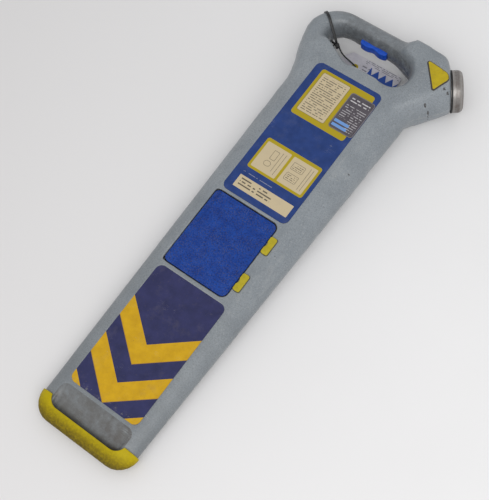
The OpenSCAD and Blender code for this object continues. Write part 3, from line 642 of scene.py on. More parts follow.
carve(rear_half, posts, "UNION")
carve(rear_half, rear_cuts)

for half, node in ((front_half, "front_shell"), (rear_half, "rear_shell")):
    smooth(half, 32)
    place(half, "case", "case_grey", node)

# %% [markdown]
# ## Finishes
# A used instrument is never one flat colour. The case paint starts as two greys in soft clouds, with dark
# and pale grain, dirt that is ground in towards the foot, and paler rubs on its raised edges. A photograph
# of paint could give all that, but a chain of masks, each laid over the last colour, can be tuned one by
# one.


# %% Grey case paint
def dress(piece, slot):
    piece.data.materials.clear()
    piece.data.materials.append(finishes[slot].material)
    for face in piece.data.polygons:
        face.material_index = 0


grey = Finish("case_grey", face_frame)
paint = grey.mottle(rgb(0.195, 0.218, 0.240), rgb(0.255, 0.280, 0.302), 46)
paint = paint.over(rgb(0.150, 0.165, 0.178), grey.noise(1.5, 2.0, 0.6).fit(0.50, 0.62) * 0.62)
paint = paint.over(rgb(0.330, 0.345, 0.352), grey.noise(2.3, 2.0, 0.6, move=40).fit(0.57, 0.68) * 0.45)
ground_in = grey.y.fit(330, 0) * grey.noise(38, 4.0, 0.65, move=83).fit(0.25, 0.70, 0.45, 1.0)
paint = paint.over(rgb(0.105, 0.111, 0.110), ground_in * 0.62)
rubbed = grey.noise(26, 5.0, 0.7, (1, 0.3, 1), 31).fit(0.58, 0.74)
paint = paint.over(rgb(0.385, 0.392, 0.390), rubbed * 0.30)
raised = grey.edges(0.515, 0.56) * grey.noise(9, 4.0).fit(0.40, 0.60)
paint = paint.over(rgb(0.400, 0.405, 0.400), raised * 0.45)
print("grey paint has", len(grey.flow.tree.nodes), "nodes so far")

# %% [markdown]
# Hands and dirt leave their own marks, and some of the dark is painted shade. The pad above the foot is worn
# dark and stained brown, the inside of the grip is black from gloves and from painted shade in the opening,
# and dirt and painted shade sit in the cracks round door and latches. Vertex paint could hold these places,
# but panels and soft limits in millimetres give the same and don't depend on the mesh.

# %% Worn and dirty places, with painted shade
worn = grey.panel(-56, 6, 56, 51, 10) * (grey.z > -14) * grey.noise(17, 5.0, 0.7, move=12).fit(0.26, 0.58)
paint = paint.over(rgb(0.088, 0.083, 0.077), worn * 0.78)
stain = worn * grey.x.fit(-25, 40) * grey.noise(13, 4.0, 0.65, move=95).fit(0.30, 0.62)
paint = paint.over(rgb(0.058, 0.046, 0.038), stain * 0.6)
handled = grey.x.fit(-90, -62) * grey.x.fit(86, 66) * grey.y.fit(578, 598) * grey.y.fit(696, 672)
handled = handled * grey.z.fit(-7, -18) * grey.z.fit(-60, -46)
# inner walls of the grip: dirt from gloves, and painted shade inside the opening
grip_dirt_and_shade = handled * grey.noise(8, 5.0, 0.7, move=66).fit(0.20, 0.58)
paint = paint.over(rgb(0.085, 0.088, 0.090), grip_dirt_and_shade * 0.78)
# dirt and painted shade in the cracks round the door and beside the raised latches
crack_dirt_and_shade = grey.outline(OPEN_X[0] - 0.8, OPEN_Y[0] - 0.8, OPEN_X[1] + 0.8, OPEN_Y[1] + 0.8, 10, 1.4)
for row in LATCH_Y:
    crack_dirt_and_shade = crack_dirt_and_shade.most(grey.outline(42.9, row - 13.4, 54.1, row + 13.4, 3.2, 1.6))
crack_dirt_and_shade = crack_dirt_and_shade * (grey.z > -3) * (grey.x > OPEN_X[0] + 1)
paint = paint.over(rgb(0.022, 0.022, 0.024), crack_dirt_and_shade * grey.noise(5, 4.0, 0.7, move=28).fit(0.22, 0.5) * 0.85)
print("worn places bring it to", len(grey.flow.tree.nodes), "nodes")

# %% [markdown]
# Last come grime, fine scratches from years in a van, and chips, most of them near the nose. Chips could be
# cut into the mesh, but they are a millimetre wide, so a dark mask with a small dent in the bump is enough.

# %% Scratches and chips
CHIPS = ((96.7, 608, 1.6), (102.5, 607, 1.1), (106.6, 638, 1.7), (112.5, 637, 1.6), (-22, 678, 1.5),
         (72, 470, 1.0))
grime = grey.noise(7, 5.0, 0.75, move=55).fit(0.60, 0.80)
paint = paint.over(rgb(0.110, 0.108, 0.105), grime * 0.40)
lined = grey.scratches(34, 0.6, 5).most(grey.scratches(27, 2.0, 18))
paint = paint.over(rgb(0.430, 0.435, 0.430), lined * 0.45)
chips = grey.specks(3.4, 0.735, 77) * grey.noise(60, 1.0, move=3).fit(0.46, 0.56)
for x, y, size in CHIPS:
    right, up = grey.x - x, grey.y - y
    ragged = grey.noise(2.2, 2.0).fit(0.3, 0.7, 0, 2 * size * size)
    chips = chips.most(((right * right + up * up) < ragged) * (grey.z > -42))
paint = paint.over(rgb(0.035, 0.030, 0.028), chips * 0.9)
grey.wire(Base_Color=paint, Roughness=0.38 + rubbed * 0.16 + grime * 0.14 + lined * 0.08 - handled * 0.12)
grey.bump(grey.noise(0.9, 2.0) * 0.5 + grey.noise(2.6, 2.0, move=8) * 0.5 - chips * 0.8, 0.16 * MM, 0.55)
for half in (front_half, rear_half):
    dress(half, "case_grey")
print("the case wears", len(CHIPS), "chips and", len(grey.flow.tree.nodes), "nodes")

# %% [markdown]
# The upper label is a blue sheet with yellow frames and cream panels, printed and then laminated. Each
# panel is a mask with rounded corners, and rows of broken strokes fill the panels. Separate sheets of mesh
# would show steps that the real, flat label doesn't have.

# %% Upper label
CREAM, YELLOW, INK = rgb(0.540, 0.445, 0.285), rgb(0.390, 0.292, 0.004), rgb(0.045, 0.039, 0.034)
blue = Finish("label_blue", face_frame, Specular_IOR_Level=0.3)
sheet = blue.mottle(rgb(0.007, 0.030, 0.140), rgb(0.014, 0.044, 0.190), 14)
sheet = sheet.over(YELLOW, blue.panel(-41.7, 501, 41.5, 577, 4))
sheet = sheet.over(CREAM, blue.panel(-37, 509, 5.3, 572.5, 2.4))
sheet = sheet.over(rgb(0.16, 0.13, 0.03), blue.outline(-37.5, 508.5, 5.8, 573, 2.8, 0.6))
sheet = sheet.over(INK, blue.print_rows(-33.5, 512, 1.5, 569, 3.3, 0.36, 3.4) * 0.8)
sheet = sheet.over(YELLOW, blue.panel(-42.5, 406, 43.3, 455.3, 3.5))
for x0, x1 in ((-39, -1.6), (2.2, 39.8)):
    sheet = sheet.over(CREAM, blue.panel(x0, 409.6, x1, 450.4, 1.6))
sheet = sheet.over(CREAM, blue.panel(-41.5, 374.2, 42.5, 392.6, 0.8))
sheet = sheet.over(INK, blue.print_rows(-37, 377, 12, 390, 4.2, 0.44, 6) * 0.85)
sheet = sheet.over(rgb(0.42, 0.42, 0.46), blue.print_rows(-41, 396, 4, 399, 3.1, 0.24, 2.4) * 0.6)
print("upper label has", len(blue.flow.tree.nodes), "nodes so far")

# %% [markdown]
# Two of the cream panels hold plain frames, bars and short rows. They could be curves, but as masks they
# share the label's own wear. Then the whole sheet ages: faded clouds, scratches and specks, which also make
# it rougher.

# %% Drawings and wear of the upper label
FRAMES = ((-24, 430, -16, 444, 1), (-27, 419, -17, 427, 4), (7, 433, 25, 444, 1.6), (7, 417, 25, 428, 1.6))
BARS = ((-12, 416, 446), (-7, 413, 446), (31, 413, 447), (35, 413, 447))
drawn = blue.print_rows(9, 435, 23, 442.5, 2.6, 0.3, 2.2)
drawn = drawn.most(blue.print_rows(9, 419, 23, 426.5, 2.6, 0.3, 2.2))
for x0, y0, x1, y1, radius in FRAMES:
    drawn = drawn.most(blue.outline(x0, y0, x1, y1, radius, 0.5))
for x, low, high in BARS:
    drawn = drawn.most(blue.panel(x, low, x + 0.5, high, 0.2))
sheet = sheet.over(INK, drawn * 0.9)
faded = blue.noise(21, 5.0, 0.7, move=20).fit(0.52, 0.75)
sheet = sheet.over(rgb(0.19, 0.185, 0.19), faded * 0.12)
scored = blue.scratches(30, 0.9, 4).most(blue.scratches(22, 2.4, 15))
sheet = sheet.over(rgb(0.42, 0.42, 0.42), scored * 0.4)
sheet = sheet.over(rgb(0.10, 0.085, 0.06), blue.specks(1.7, 0.72, 3) * 0.6)
blue.wire(Base_Color=sheet, Roughness=0.30 + faded * 0.25 + scored * 0.2)
blue.bump(blue.noise(11, 3.0), 0.25 * MM, 0.25)
print("upper label holds", len(FRAMES), "frames and", len(BARS), "bars")

# %% [markdown]
# The lower label is dark violet with yellow chevrons, a common safety pattern. The stripes could be cut
# from film, but they are printed on the real one too. A height that falls away from the middle line, taken
# again and again at the same pitch, gives chevrons of an even width.

# %% Lower label with its chevrons
STRIPE, GAP, SLOPE, START, RIM = 30.2, 27.3, 0.80, 113.1, 0.9
violet = Finish("label_violet", face_frame, Specular_IOR_Level=0.3)
rise = violet.y - abs(violet.x) * SLOPE - START
below_top = rise < STRIPE + 0.1
in_pitch = rise % (STRIPE + GAP)
film = violet.mottle(rgb(0.016, 0.018, 0.070), rgb(0.026, 0.028, 0.102), 17)
stripes = violet.mottle(rgb(0.50, 0.282, 0.002), rgb(0.60, 0.350, 0.004), 12, 6)
film = film.over(stripes, (in_pitch < STRIPE) * below_top)
film = film.over(rgb(0.20, 0.10, 0.03), (in_pitch < RIM) * below_top * 0.6)
tired = violet.noise(24, 5.0, 0.7, move=25).fit(0.54, 0.74)
film = film.over(rgb(0.20, 0.17, 0.15), tired * 0.14)
cuts = violet.scratches(36, 0.3, 44).most(violet.scratches(25, 1.3, 60)).most(violet.scratches(18, 2.2, 71))
film = film.over(rgb(0.40, 0.38, 0.37), cuts * 0.4)
film = film.over(rgb(0.09, 0.065, 0.04), violet.specks(1.6, 0.70, 7) * 0.7)
lifted = (violet.y < 62) * violet.noise(5, 4.0, 0.7, move=2).fit(0.55, 0.66)
film = film.over(rgb(0.17, 0.165, 0.165), lifted * 0.7)
violet.wire(Base_Color=film, Roughness=0.30 + tired * 0.25 + cuts * 0.2)
violet.bump(violet.noise(12, 3.0), 0.25 * MM, 0.25)
print("chevrons repeat every", STRIPE + GAP, "mm")

# %% [markdown]
# A small dark sticker overlaps the corner of the upper label. It was added during the instrument's life, so
# it has its own thin border, pale rows and two light blue fields. Its CAD sheet is right and only needs
# this print.

# %% Service sticker
dark = Finish("sticker_dark", face_frame)
card = dark.mottle(rgb(0.050, 0.042, 0.052), rgb(0.075, 0.064, 0.078), 9)
card = card.over(rgb(0.30, 0.285, 0.30), dark.outline(11.6, 510.3, 48.2, 567.7, 3.8, 0.7) * 0.5)
card = card.over(rgb(0.52, 0.50, 0.51), dark.print_rows(16, 555, 44, 564, 4.2, 0.36, 4))
for x0, y0, x1 in ((15, 529, 27), (30, 514, 45)):
    card = card.over(rgb(0.40, 0.385, 0.40), dark.print_rows(x0, y0, x1, 552, 3.4, 0.30, 3))
for low in (514, 520.5):
    card = card.over(rgb(0.135, 0.285, 0.60), dark.panel(14, low, 36, low + 4.2, 0.4))
card = card.over(rgb(0.30, 0.29, 0.29), dark.scratches(14, 1.0, 3) * 0.5)
dark.wire(Base_Color=card, Roughness=0.34 + dark.noise(8, 3.0).fit(0.3, 0.7) * 0.18)
print("service sticker has", len(dark.flow.tree.nodes), "nodes")

# %% [markdown]
# The corner sticker by the nose is yellow with a dark border and three rounded tips. Its outline is a list
# of straight cuts, four round each tip. The same list trims the mesh later and here measures how far a
# point lies inside, so border and edge always agree.

# %% Corner sticker finish
TIPS = [(Vector((63.8, 662.4)), 3.0), (Vector((108.3, 659.4)), 9.5), (Vector((96.2, 624.8)), 3.0)]
BORDER = 1.5
trims = []
for i, (tip, round_off) in enumerate(TIPS):
    runs = [tip - TIPS[i - 1][0], TIPS[(i + 1) % 3][0] - tip]
    first, last = [Vector((-run.y, run.x)).normalized() for run in runs]
    middle = tip - (first + last) * (round_off / (1 + first.dot(last)))
    for share in (0, 0.25, 0.5, 0.75):
        outward = first.lerp(last, share).normalized()
        trims.append((middle + outward * round_off, outward))

corner = Finish("sticker_yellow", face_frame, Specular_IOR_Level=0.35)
inside = None
for spot, outward in trims:
    depth = spot.dot(outward) - (corner.x * outward.x + corner.y * outward.y)
    inside = depth if inside is None else inside.least(depth)
tint = corner.mottle(rgb(0.400, 0.296, 0.002), rgb(0.49, 0.370, 0.004), 8)
tint = tint.over(rgb(0.045, 0.038, 0.032), inside < BORDER)
tint = tint.over(rgb(0.16, 0.13, 0.06), corner.noise(3.0, 4.0, 0.7).fit(0.58, 0.72) * 0.6)
corner.wire(Base_Color=tint, Roughness=0.36 + corner.noise(6, 3.0).fit(0.3, 0.7) * 0.2)
print("corner sticker is trimmed by", len(trims), "cuts")

# %% [markdown]
# Most other pieces are moulded plastic or plain metal, and two recipes save writing each one out. The first
# gives plastic its clouds, specks, scratches and fine grain. The second gives metal a brushed direction and
# a dull film.


# %% Two recipes
def plastic(name, low, high, marks, place_in=None, size=9, gloss=0.42, dirt=0.35, grain=0.6, shine=0.35):
    made = Finish(name, place_in, Specular_IOR_Level=shine)
    tone = made.mottle(rgb(*low), rgb(*high), size)
    soil = made.noise(size * 0.6, 5.0, 0.72, move=13).fit(0.56, 0.76)
    tone = tone.over(rgb(*marks), soil * dirt)
    tone = tone.over(rgb(*marks), made.specks(size * 0.16, 0.69, 5) * 0.5)
    fine = made.scratches(size * 2.2, 0.8, 21).most(made.scratches(size * 1.7, 2.1, 34))
    made.tone = tone.over(rgb(*[min(c * 1.6 + 0.08, 0.8) for c in high]), fine * 0.4)
    made.rough = gloss + soil * 0.2 + fine * 0.1
    made.wire(Base_Color=made.tone, Roughness=made.rough)
    made.bump(made.noise(grain, 2.0), 0.1 * MM, 0.4)
    return made


def metal(name, low, high, place_in, stretch, size, gloss):
    made = Finish(name, place_in, Metallic=1.0)
    streak = made.noise(size, 4.0, 0.65, stretch).fit(0.3, 0.7)
    film = made.noise(size * 4, 4.0, 0.6, move=17).fit(0.45, 0.75)
    tone = made.mix(rgb(*low), rgb(*high), streak)
    made.tone = tone.over(rgb(*[c * 0.55 for c in low]), film * 0.5)
    made.rough = gloss + streak * 0.12 + film * 0.18
    made.wire(Base_Color=made.tone, Roughness=made.rough)
    made.bump(streak, 0.06 * MM, 0.35)
    return made


board_frame = seam_frame @ shift(0, 405.402 * MM, 1.6 * MM)
tag_frame = shift(0, -ORIGIN_UP, 0)
print("two recipes, and frames for the board and the tag")

# %% [markdown]
# These pieces are plain enough for a recipe alone. Each row gives a dark and a light tone, the colour of
# dirt and the size of the clouds, taken from how large the piece is. Brushed metal is streaked along the
# way it was worked.

# %% Plain plastic and metal
PLASTICS = (
    ("latch_yellow", (0.375, 0.3, 0.008), (0.46, 0.375, 0.014), (0.11, 0.085, 0.02), face_frame, 6, 0.4, 0.4),
    ("trigger_blue", (0.003, 0.06, 0.42), (0.008, 0.086, 0.56), (0.014, 0.022, 0.07), seam_frame,
     7, 0.38, 0.3),
    ("seal_black", (0.010, 0.010, 0.011), (0.020, 0.020, 0.021), (0.050, 0.048, 0.045), None, 5, 0.55, 0.3),
    ("tray_black", (0.016, 0.016, 0.017), (0.028, 0.028, 0.03), (0.06, 0.055, 0.05), face_frame,
     9, 0.46, 0.4),
    ("ferrite", (0.030, 0.026, 0.024), (0.055, 0.048, 0.045), (0.085, 0.075, 0.07), seam_frame, 3, 0.62, 0.3),
    ("speaker_black", (0.012, 0.012, 0.013), (0.026, 0.026, 0.028), (0.055, 0.052, 0.05), rear_frame,
     5, 0.6, 0.3),
    ("tie_black", (0.009, 0.009, 0.010), (0.019, 0.019, 0.020), (0.045, 0.042, 0.038), None, 5, 0.36, 0.3),
    ("eyelet_yellow", (0.47, 0.36, 0.020), (0.58, 0.46, 0.030), (0.14, 0.10, 0.03), tag_frame, 3, 0.34, 0.4),
    ("needle_red", (0.36, 0.020, 0.014), (0.46, 0.030, 0.020), (0.10, 0.02, 0.02), nose_frame, 2, 0.4, 0.2))
METALS = (
    ("screw_steel", (0.42, 0.42, 0.43), (0.56, 0.56, 0.57), seam_frame, (1, 1, 1), 1.2, 0.32),
    ("pin_steel", (0.045, 0.045, 0.048), (0.075, 0.075, 0.080), face_frame, (1, 0.2, 1), 1.0, 0.36),
    ("contact_metal", (0.52, 0.49, 0.42), (0.68, 0.64, 0.56), face_frame, (1, 1, 0.2), 1.4, 0.28),
    ("pot_metal", (0.36, 0.37, 0.38), (0.50, 0.51, 0.52), nose_frame, (1, 1, 0.2), 1.4, 0.32))
for values in PLASTICS:
    plastic(*values)
for values in METALS:
    metal(*values)
print(len(finishes), "finishes so far")

# %% [markdown]
# The battery door is a textured blue moulding, and dust and grit sit in its texture. More bump would only
# make it shiny in spots, so brown dust and dark grain are laid over the recipe's colour. The shine is low,
# as on the real door, which keeps the blue deep.

# %% Battery door finish
lid = plastic("door_blue", (0.004, 0.034, 0.215), (0.01, 0.058, 0.31), (0.06, 0.05, 0.058), face_frame, 13,
              0.46, 0.4, shine=0.15)
dusty = lid.noise(26, 3.0, 0.6, move=90).fit(0.30, 0.70, 0.15, 1.0)
dust = lid.noise(1.5, 2.0, 0.6, move=52).fit(0.53, 0.62) * dusty
gritty = lid.tone.over(rgb(0.130, 0.104, 0.080), dust * 0.62)
gritty = gritty.over(rgb(0.005, 0.012, 0.060), lid.noise(2.4, 3.0, 0.7, move=8).fit(0.50, 0.64) * 0.60)
lid.wire(Base_Color=gritty, Roughness=lid.rough + dust * 0.15)
print("door finish has", len(lid.flow.tree.nodes), "nodes")

# %% [markdown]
# The ring on the nose was turned on a lathe, so its streaks run round it. Two bands carry a painted
# highlight and are a little glossier, one next to the seal and one on the lip, and a brown film lies
# between them. The bands follow the axis of the nose.

# %% Ring finish
bezel = metal("bezel_metal", (0.19, 0.176, 0.167), (0.28, 0.266, 0.256), nose_frame, (0.03, 0.03, 1.6), 1.0,
              0.36)
highlight_and_gloss_bands = bezel.z.fit(1.2, 2.6) * bezel.z.fit(5.6, 4.0)
highlight_and_gloss_bands = highlight_and_gloss_bands.most(bezel.z.fit(9.5, 12.0) * bezel.z.fit(15.2, 13.6))
turned = bezel.tone.over(rgb(0.120, 0.092, 0.078), bezel.noise(9, 4.0, 0.6, move=63).fit(0.42, 0.68) * 0.7)
# painted highlight on the two bands
turned = turned.over(rgb(0.46, 0.445, 0.43), highlight_and_gloss_bands * 0.42)
bezel.wire(Base_Color=turned, Roughness=bezel.rough - highlight_and_gloss_bands * 0.04)
print("ring finish has", len(bezel.flow.tree.nodes), "nodes")

# %% [markdown]
# The rubber foot is dragged through mud. A painted highlight keeps it bright along its upper rim, and painted
# shade and mud spots darken it towards the ground, so one height, measured up the foot, steers the painted
# highlight, the painted shade and the mud.

# %% Rubber foot finish
foot = plastic("bumper_yellow", (0.32, 0.234, 0.001), (0.425, 0.318, 0.002), (0.06, 0.046, 0.008),
               seam_frame, 11, 0.46, 0.35, 1.1, 0.12)
up_foot = foot.y * 1.3 + foot.z
low_down = up_foot.fit(44, 6)
mud = foot.noise(3.2, 5.0, 0.75, move=41).fit(0.30, 0.58) * low_down.fit(0.0, 1.0, 0.08, 1.0)
# painted highlight along the upper rim
mud_and_painted_light = foot.tone.over(rgb(0.510, 0.395, 0.003), up_foot.fit(22, 36) * 0.6)
# painted shade, darker towards the ground
mud_and_painted_light = mud_and_painted_light.over(rgb(0.110, 0.074, 0.006), low_down.fit(0.45, 1.0) * 0.6)
mud_and_painted_light = mud_and_painted_light.over(rgb(0.068, 0.050, 0.010), mud * 0.88)
mud_and_painted_light = mud_and_painted_light.over(rgb(0.50, 0.44, 0.07), foot.edges(0.53, 0.60) * foot.noise(6, 3.0).fit(0.4, 0.6) * 0.4)
foot.wire(Base_Color=mud_and_painted_light, Roughness=foot.rough + mud * 0.2)
print("foot finish has", len(foot.flow.tree.nodes), "nodes")

# %% [markdown]
# Eight pen cells lie behind the door, each turned the other way than its neighbour. One material serves all
# eight: the column that a point lies in says which end is the positive one, and bands are then measured
# along the cell.

# %% Battery cells
DOOR_MID, WELL_X, ROW, CELL = 301.902, -49.4, 21.5, 51.5
cell = plastic("cell_jacket", (0.012, 0.012, 0.014), (0.022, 0.022, 0.025), (0.05, 0.05, 0.05), face_frame, 8,
               0.26, 0.2)
column = ((cell.x - WELL_X) / ROW).floor() % 2
facing = abs((cell.y > DOOR_MID) - column)
along = abs(cell.y - DOOR_MID)
along = along * facing + (CELL - along) * (1 - facing)
band = (along > 36) * (along < 49.4)
wrap = cell.tone.over(rgb(0.44, 0.22, 0.06), band)
wrap = wrap.over(rgb(0.42, 0.42, 0.42), (along > 33.6) * (along < 34.6))
marks = (abs(along - 20) < 5) * (cell.noise(3.0, 0.0, 0.5, (0.4, 1, 0.4), 9) > 0.52)
wrap = wrap.over(rgb(0.30, 0.30, 0.31), marks * 0.6)
ends = (along > 49.6).most(along < 0.8)
wrap = wrap.over(rgb(0.58, 0.57, 0.55), ends)
cell.wire(Base_Color=wrap, Metallic=ends.most(band) * 0.9, Roughness=cell.rough)
print("cells stand", ROW, "mm apart")

# %% [markdown]
# The circuit board is green with copper tracks under the lacquer and bright solder pads. It only shows when
# the case is open, so its tracks come from a grid of lanes that noise switches on and off, not from a drawn
# layout.

# %% Circuit board
LANE, TRACK_HALF = 3.2, 0.12
board = plastic("board_green", (0.008, 0.07, 0.026), (0.014, 0.105, 0.042), (0.05, 0.06, 0.04), board_frame,
                10, 0.3, 0.15)
mid_x = board.x / LANE - (board.x / LANE).floor() - 0.5
mid_y = board.y / LANE - (board.y / LANE).floor() - 0.5
track = (abs(mid_x) < TRACK_HALF) * (board.noise(9, 0.0, 0.5, (1, 0.3, 1), 3) > 0.5)
cross = (abs(mid_y) < TRACK_HALF) * (board.noise(9, 0.0, 0.5, (0.3, 1, 1), 12) > 0.54)
pad = ((mid_x * mid_x + mid_y * mid_y) < 0.06) * (board.noise(5, 0.0, move=30) > 0.58)
copper = board.tone.over(rgb(0.022, 0.19, 0.075), track.most(cross))
board.wire(Base_Color=copper.over(rgb(0.55, 0.53, 0.50), pad), Metallic=pad * 0.9, Roughness=board.rough)
print("board lanes are", LANE, "mm wide")

# %% [markdown]
# The parts on the board are one CAD node with one material: black chips, blue filter cans with bright tops
# and cream sockets with dark slots. Their places are known, so panels tell them apart.

# %% Parts on the board
parts = plastic("board_black", (0.012, 0.012, 0.013), (0.022, 0.022, 0.024), (0.05, 0.05, 0.05), board_frame,
                5, 0.4, 0.2)
cans = parts.panel(-33, 87, 13, 97, 1)
tops = parts.tone.over(rgb(0.035, 0.045, 0.15), cans)
tops = tops.over(rgb(0.46, 0.46, 0.48), cans * (parts.z > 10.6))
sockets = parts.panel(-21, 3, -3, 11, 1).most(parts.panel(7, 3, 25, 11, 1))
sockets = sockets.most(parts.panel(19, 99, 35, 107, 1))
tops = tops.over(rgb(0.60, 0.585, 0.53), sockets)
slots = sockets * (abs((parts.x / 2.54) % 1 - 0.5) < 0.16) * (parts.z > 6.6)
tops = tops.over(rgb(0.02, 0.02, 0.02), slots)
rows = parts.print_rows(-28, 32, -14, 46, 4, 0.2, 2.4) * (parts.z > 2)
tops = tops.over(rgb(0.34, 0.34, 0.35), rows * 0.8)
parts.wire(Base_Color=tops, Roughness=parts.rough)
print("board parts have", len(parts.flow.tree.nodes), "nodes")

# %% [markdown]
# Each search coil is enamelled copper wire between two cream flanges. Hundreds of turns as geometry would
# be heavy and hardly seen, so a wave along the rod shades the surface once per turn.

# %% Search coils
WIRE = 0.55
coil = plastic("winding", (0.30, 0.105, 0.032), (0.42, 0.160, 0.052), (0.12, 0.05, 0.02), seam_frame, 4, 0.32,
               0.3)
turns = abs((coil.x / WIRE) % 1 - 0.5)
flange = (abs(coil.x) > 37.95).most((abs(coil.x) > 30.95) * (coil.y < 100))
# painted shade in the groove between neighbouring turns
reel = coil.tone.over(rgb(0.13, 0.045, 0.018), turns.fit(0.30, 0.5) * 0.8)
reel = reel.over(rgb(0.58, 0.545, 0.44), flange)
coil.wire(Base_Color=reel, Metallic=(1 - flange) * 0.6, Roughness=coil.rough)
coil.bump(turns * (1 - flange), 0.2 * MM, -0.5)
print("one turn of wire every", WIRE, "mm")

# %% [markdown]
# Inside the ring lies a black face with two knobs and a meter. The marks round each knob are short strokes
# at even angles between two radii, and a thin frame runs round the meter. Strokes as geometry would be
# thinner than a hair, so they are a mask too.

# %% Face inside the nose
KNOB_X, KNOB_Y, MARK_PITCH = 9.6, -10.4, 28
panel = plastic("face_black", (0.01, 0.01, 0.011), (0.019, 0.019, 0.021), (0.05, 0.048, 0.045), nose_frame,
                5, 0.42, 0.25)
ticks = panel.outline(-15.6, 3, 15.6, 17, 2.2, 0.5)
for side in (-1, 1):
    from_x, from_y = panel.x - side * KNOB_X, panel.y - KNOB_Y
    away = from_x * from_x + from_y * from_y
    around = from_x.angle(from_y)
    strokes = (abs(around % MARK_PITCH - MARK_PITCH / 2) < 2.2) * (abs(around) < 145)
    ticks = ticks.most((away > 7.2 * 7.2) * (away < 8.7 * 8.7) * strokes)
panel.wire(Base_Color=panel.tone.over(rgb(0.60, 0.60, 0.58), ticks * 0.85), Roughness=panel.rough)
print("a mark every", MARK_PITCH, "degrees round each knob")

# %% [markdown]
# The meter has a cream dial with a fine scale and a red sector, behind a clear window that is a little
# smeared. The scale is drawn round the needle's own pivot, so that the needle points along its strokes.

# %% Meter dial and window
PIVOT_Y, SCALE_PITCH = 1.5, 10
scale = Finish("dial_cream", nose_frame)
from_y = scale.y - PIVOT_Y
reach = scale.x * scale.x + from_y * from_y
swing = scale.x.angle(from_y)
printed = (reach > 8.0 * 8.0) * (reach < 8.3 * 8.3)
strokes = (reach > 8.0 * 8.0) * (reach < 9.6 * 9.6) * (abs(swing % SCALE_PITCH - SCALE_PITCH / 2) < 0.9)
printed = printed.most(strokes) * (abs(swing) < 46)
face = scale.mottle(rgb(0.62, 0.575, 0.44), rgb(0.70, 0.655, 0.52), 6)
sector = (reach > 9.7 * 9.7) * (reach < 10.5 * 10.5) * (abs(swing - 31) < 14)
face = face.over(rgb(0.42, 0.030, 0.020), sector)
scale.wire(Base_Color=face.over(INK, printed), Roughness=0.5 + scale.noise(2, 2.0) * 0.1)

window = Finish("window_clear", nose_frame, Transmission_Weight=0.95, IOR=1.49)
smear = window.noise(5, 5.0, 0.7).fit(0.48, 0.72)
clear = window.mix(rgb(0.95, 0.97, 0.97), rgb(0.86, 0.87, 0.85), smear)
window.wire(Base_Color=clear, Roughness=0.04 + smear * 0.22)
print("a stroke every", SCALE_PITCH, "degrees on the dial")

# %% [markdown]
# The two knobs differ in colour, so that a gloved hand finds the right one. Both have a white line on top,
# painted in a groove on real knobs and here a mask that is limited to the top.

# %% Knobs
for name, side, low, high in (("knob_yellow", -1, (0.40, 0.325, 0.024), (0.49, 0.405, 0.034)),
                              ("knob_blue", 1, (0.018, 0.056, 0.26), (0.026, 0.074, 0.34))):
    knob = plastic(name, low, high, (0.06, 0.055, 0.05), nose_frame, 4, 0.36, 0.3)
    line = (abs(knob.x - side * KNOB_X) < 0.62) * (knob.y > -8.4) * (knob.z > 11.2)
    knob.wire(Base_Color=knob.tone.over(rgb(0.66, 0.66, 0.64), line), Roughness=knob.rough)
    print(name, "has its line at", side * KNOB_X, "mm")

# %% [markdown]
# The tag is a stiff white card under the loop, with rows of broken strokes and a blue zigzag along its
# lower edge. The zigzag is a wave of straight teeth: whatever lies below the wave is blue.

# %% Tag
TOOTH, TOOTH_TALL = 11.5, 11
tag = Finish("tag_white", tag_frame)
stock = tag.mottle(rgb(0.62, 0.60, 0.66), rgb(0.78, 0.76, 0.81), 12)
stock = stock.over(rgb(0.13, 0.13, 0.16), tag.print_rows(-24, 648, 31, 664, 2.5, 0.34, 4) * 0.9)
stock = stock.over(rgb(0.06, 0.06, 0.08), tag.print_rows(-24, 634, -12, 646, 5.2, 0.34, 7) * 0.7)
teeth = abs((tag.x / TOOTH) % 1 - 0.5) * 2
zigzag = (tag.y < (teeth * TOOTH_TALL + 636)) * (tag.x > -12)
stock = stock.over(rgb(0.022, 0.085, 0.40), zigzag)
stock = stock.over(rgb(0.22, 0.21, 0.21), tag.noise(6, 5.0, 0.7).fit(0.58, 0.76) * 0.4)
tag.wire(Base_Color=stock, Roughness=0.36 + tag.noise(5, 3.0).fit(0.3, 0.7) * 0.15)
print(len(finishes), "finishes in all")

# %% [markdown]
# ## Softer pieces
# Moulded plastic has no knife edges. A Bevel modifier would round every edge of a piece, also where it
# meets its neighbour, so a copy of the CAD piece is made and only chosen edges are bevelled in edit mode.
# The copy then stands in for the CAD piece. A piece may be split first, where its round has to end.


# %% Rounding chosen edges
def soften(node, width=0.0, steps=1, chosen=None, sharp=35, split=None):
    piece = copy_node(node, node + "_soft")
    merge(piece)
    edit(piece, "EDGE", start="SELECT")
    bpy.ops.mesh.dissolve_limited(angle_limit=math.radians(1))
    if split is not None:
        bpy.ops.mesh.select_all(action="SELECT")
        bpy.ops.mesh.bisect(plane_co=face_frame @ Vector((split, 0, 0)), plane_no=(1, 0, 0))
    bpy.ops.mesh.select_all(action="DESELECT")
    picked = 0
    if chosen:
        shape = bmesh.from_edit_mesh(piece.data)
        for edge in shape.edges:
            if len(edge.link_faces) == 2 and edge.calc_face_angle() > math.radians(sharp):
                if all(chosen(v.co) for v in edge.verts):
                    edge.select_set(True)
                    picked += 1
        bmesh.update_edit_mesh(piece.data)
    if picked:
        bpy.ops.mesh.bevel(offset=width * MM, segments=steps, affect="EDGES")
    done()
    smooth(piece, 38)
    place(piece, body_of[node], slot_of[node], node)
    dress(piece, slot_of[node])
    print(node, "rounds", picked, "edges and has", len(piece.data.polygons), "faces")


# %% [markdown]
# The door is rounded on its outer face, up to its hinge barrel, which keeps its own round. The latches are
# rounded on top, the trigger along the two edges that a finger meets, and the wide tie all over. The other
# copies are only merged and smoothed, which is enough for pieces that are round already.

# %% Rounded pieces
ROUND_FROM = -46 * MM
NEAR = 0.02 * MM
LATCH_TOP, TRIGGER_HALF, TRIGGER_TO = 2.9 * MM, 6.5 * MM, 656 * MM


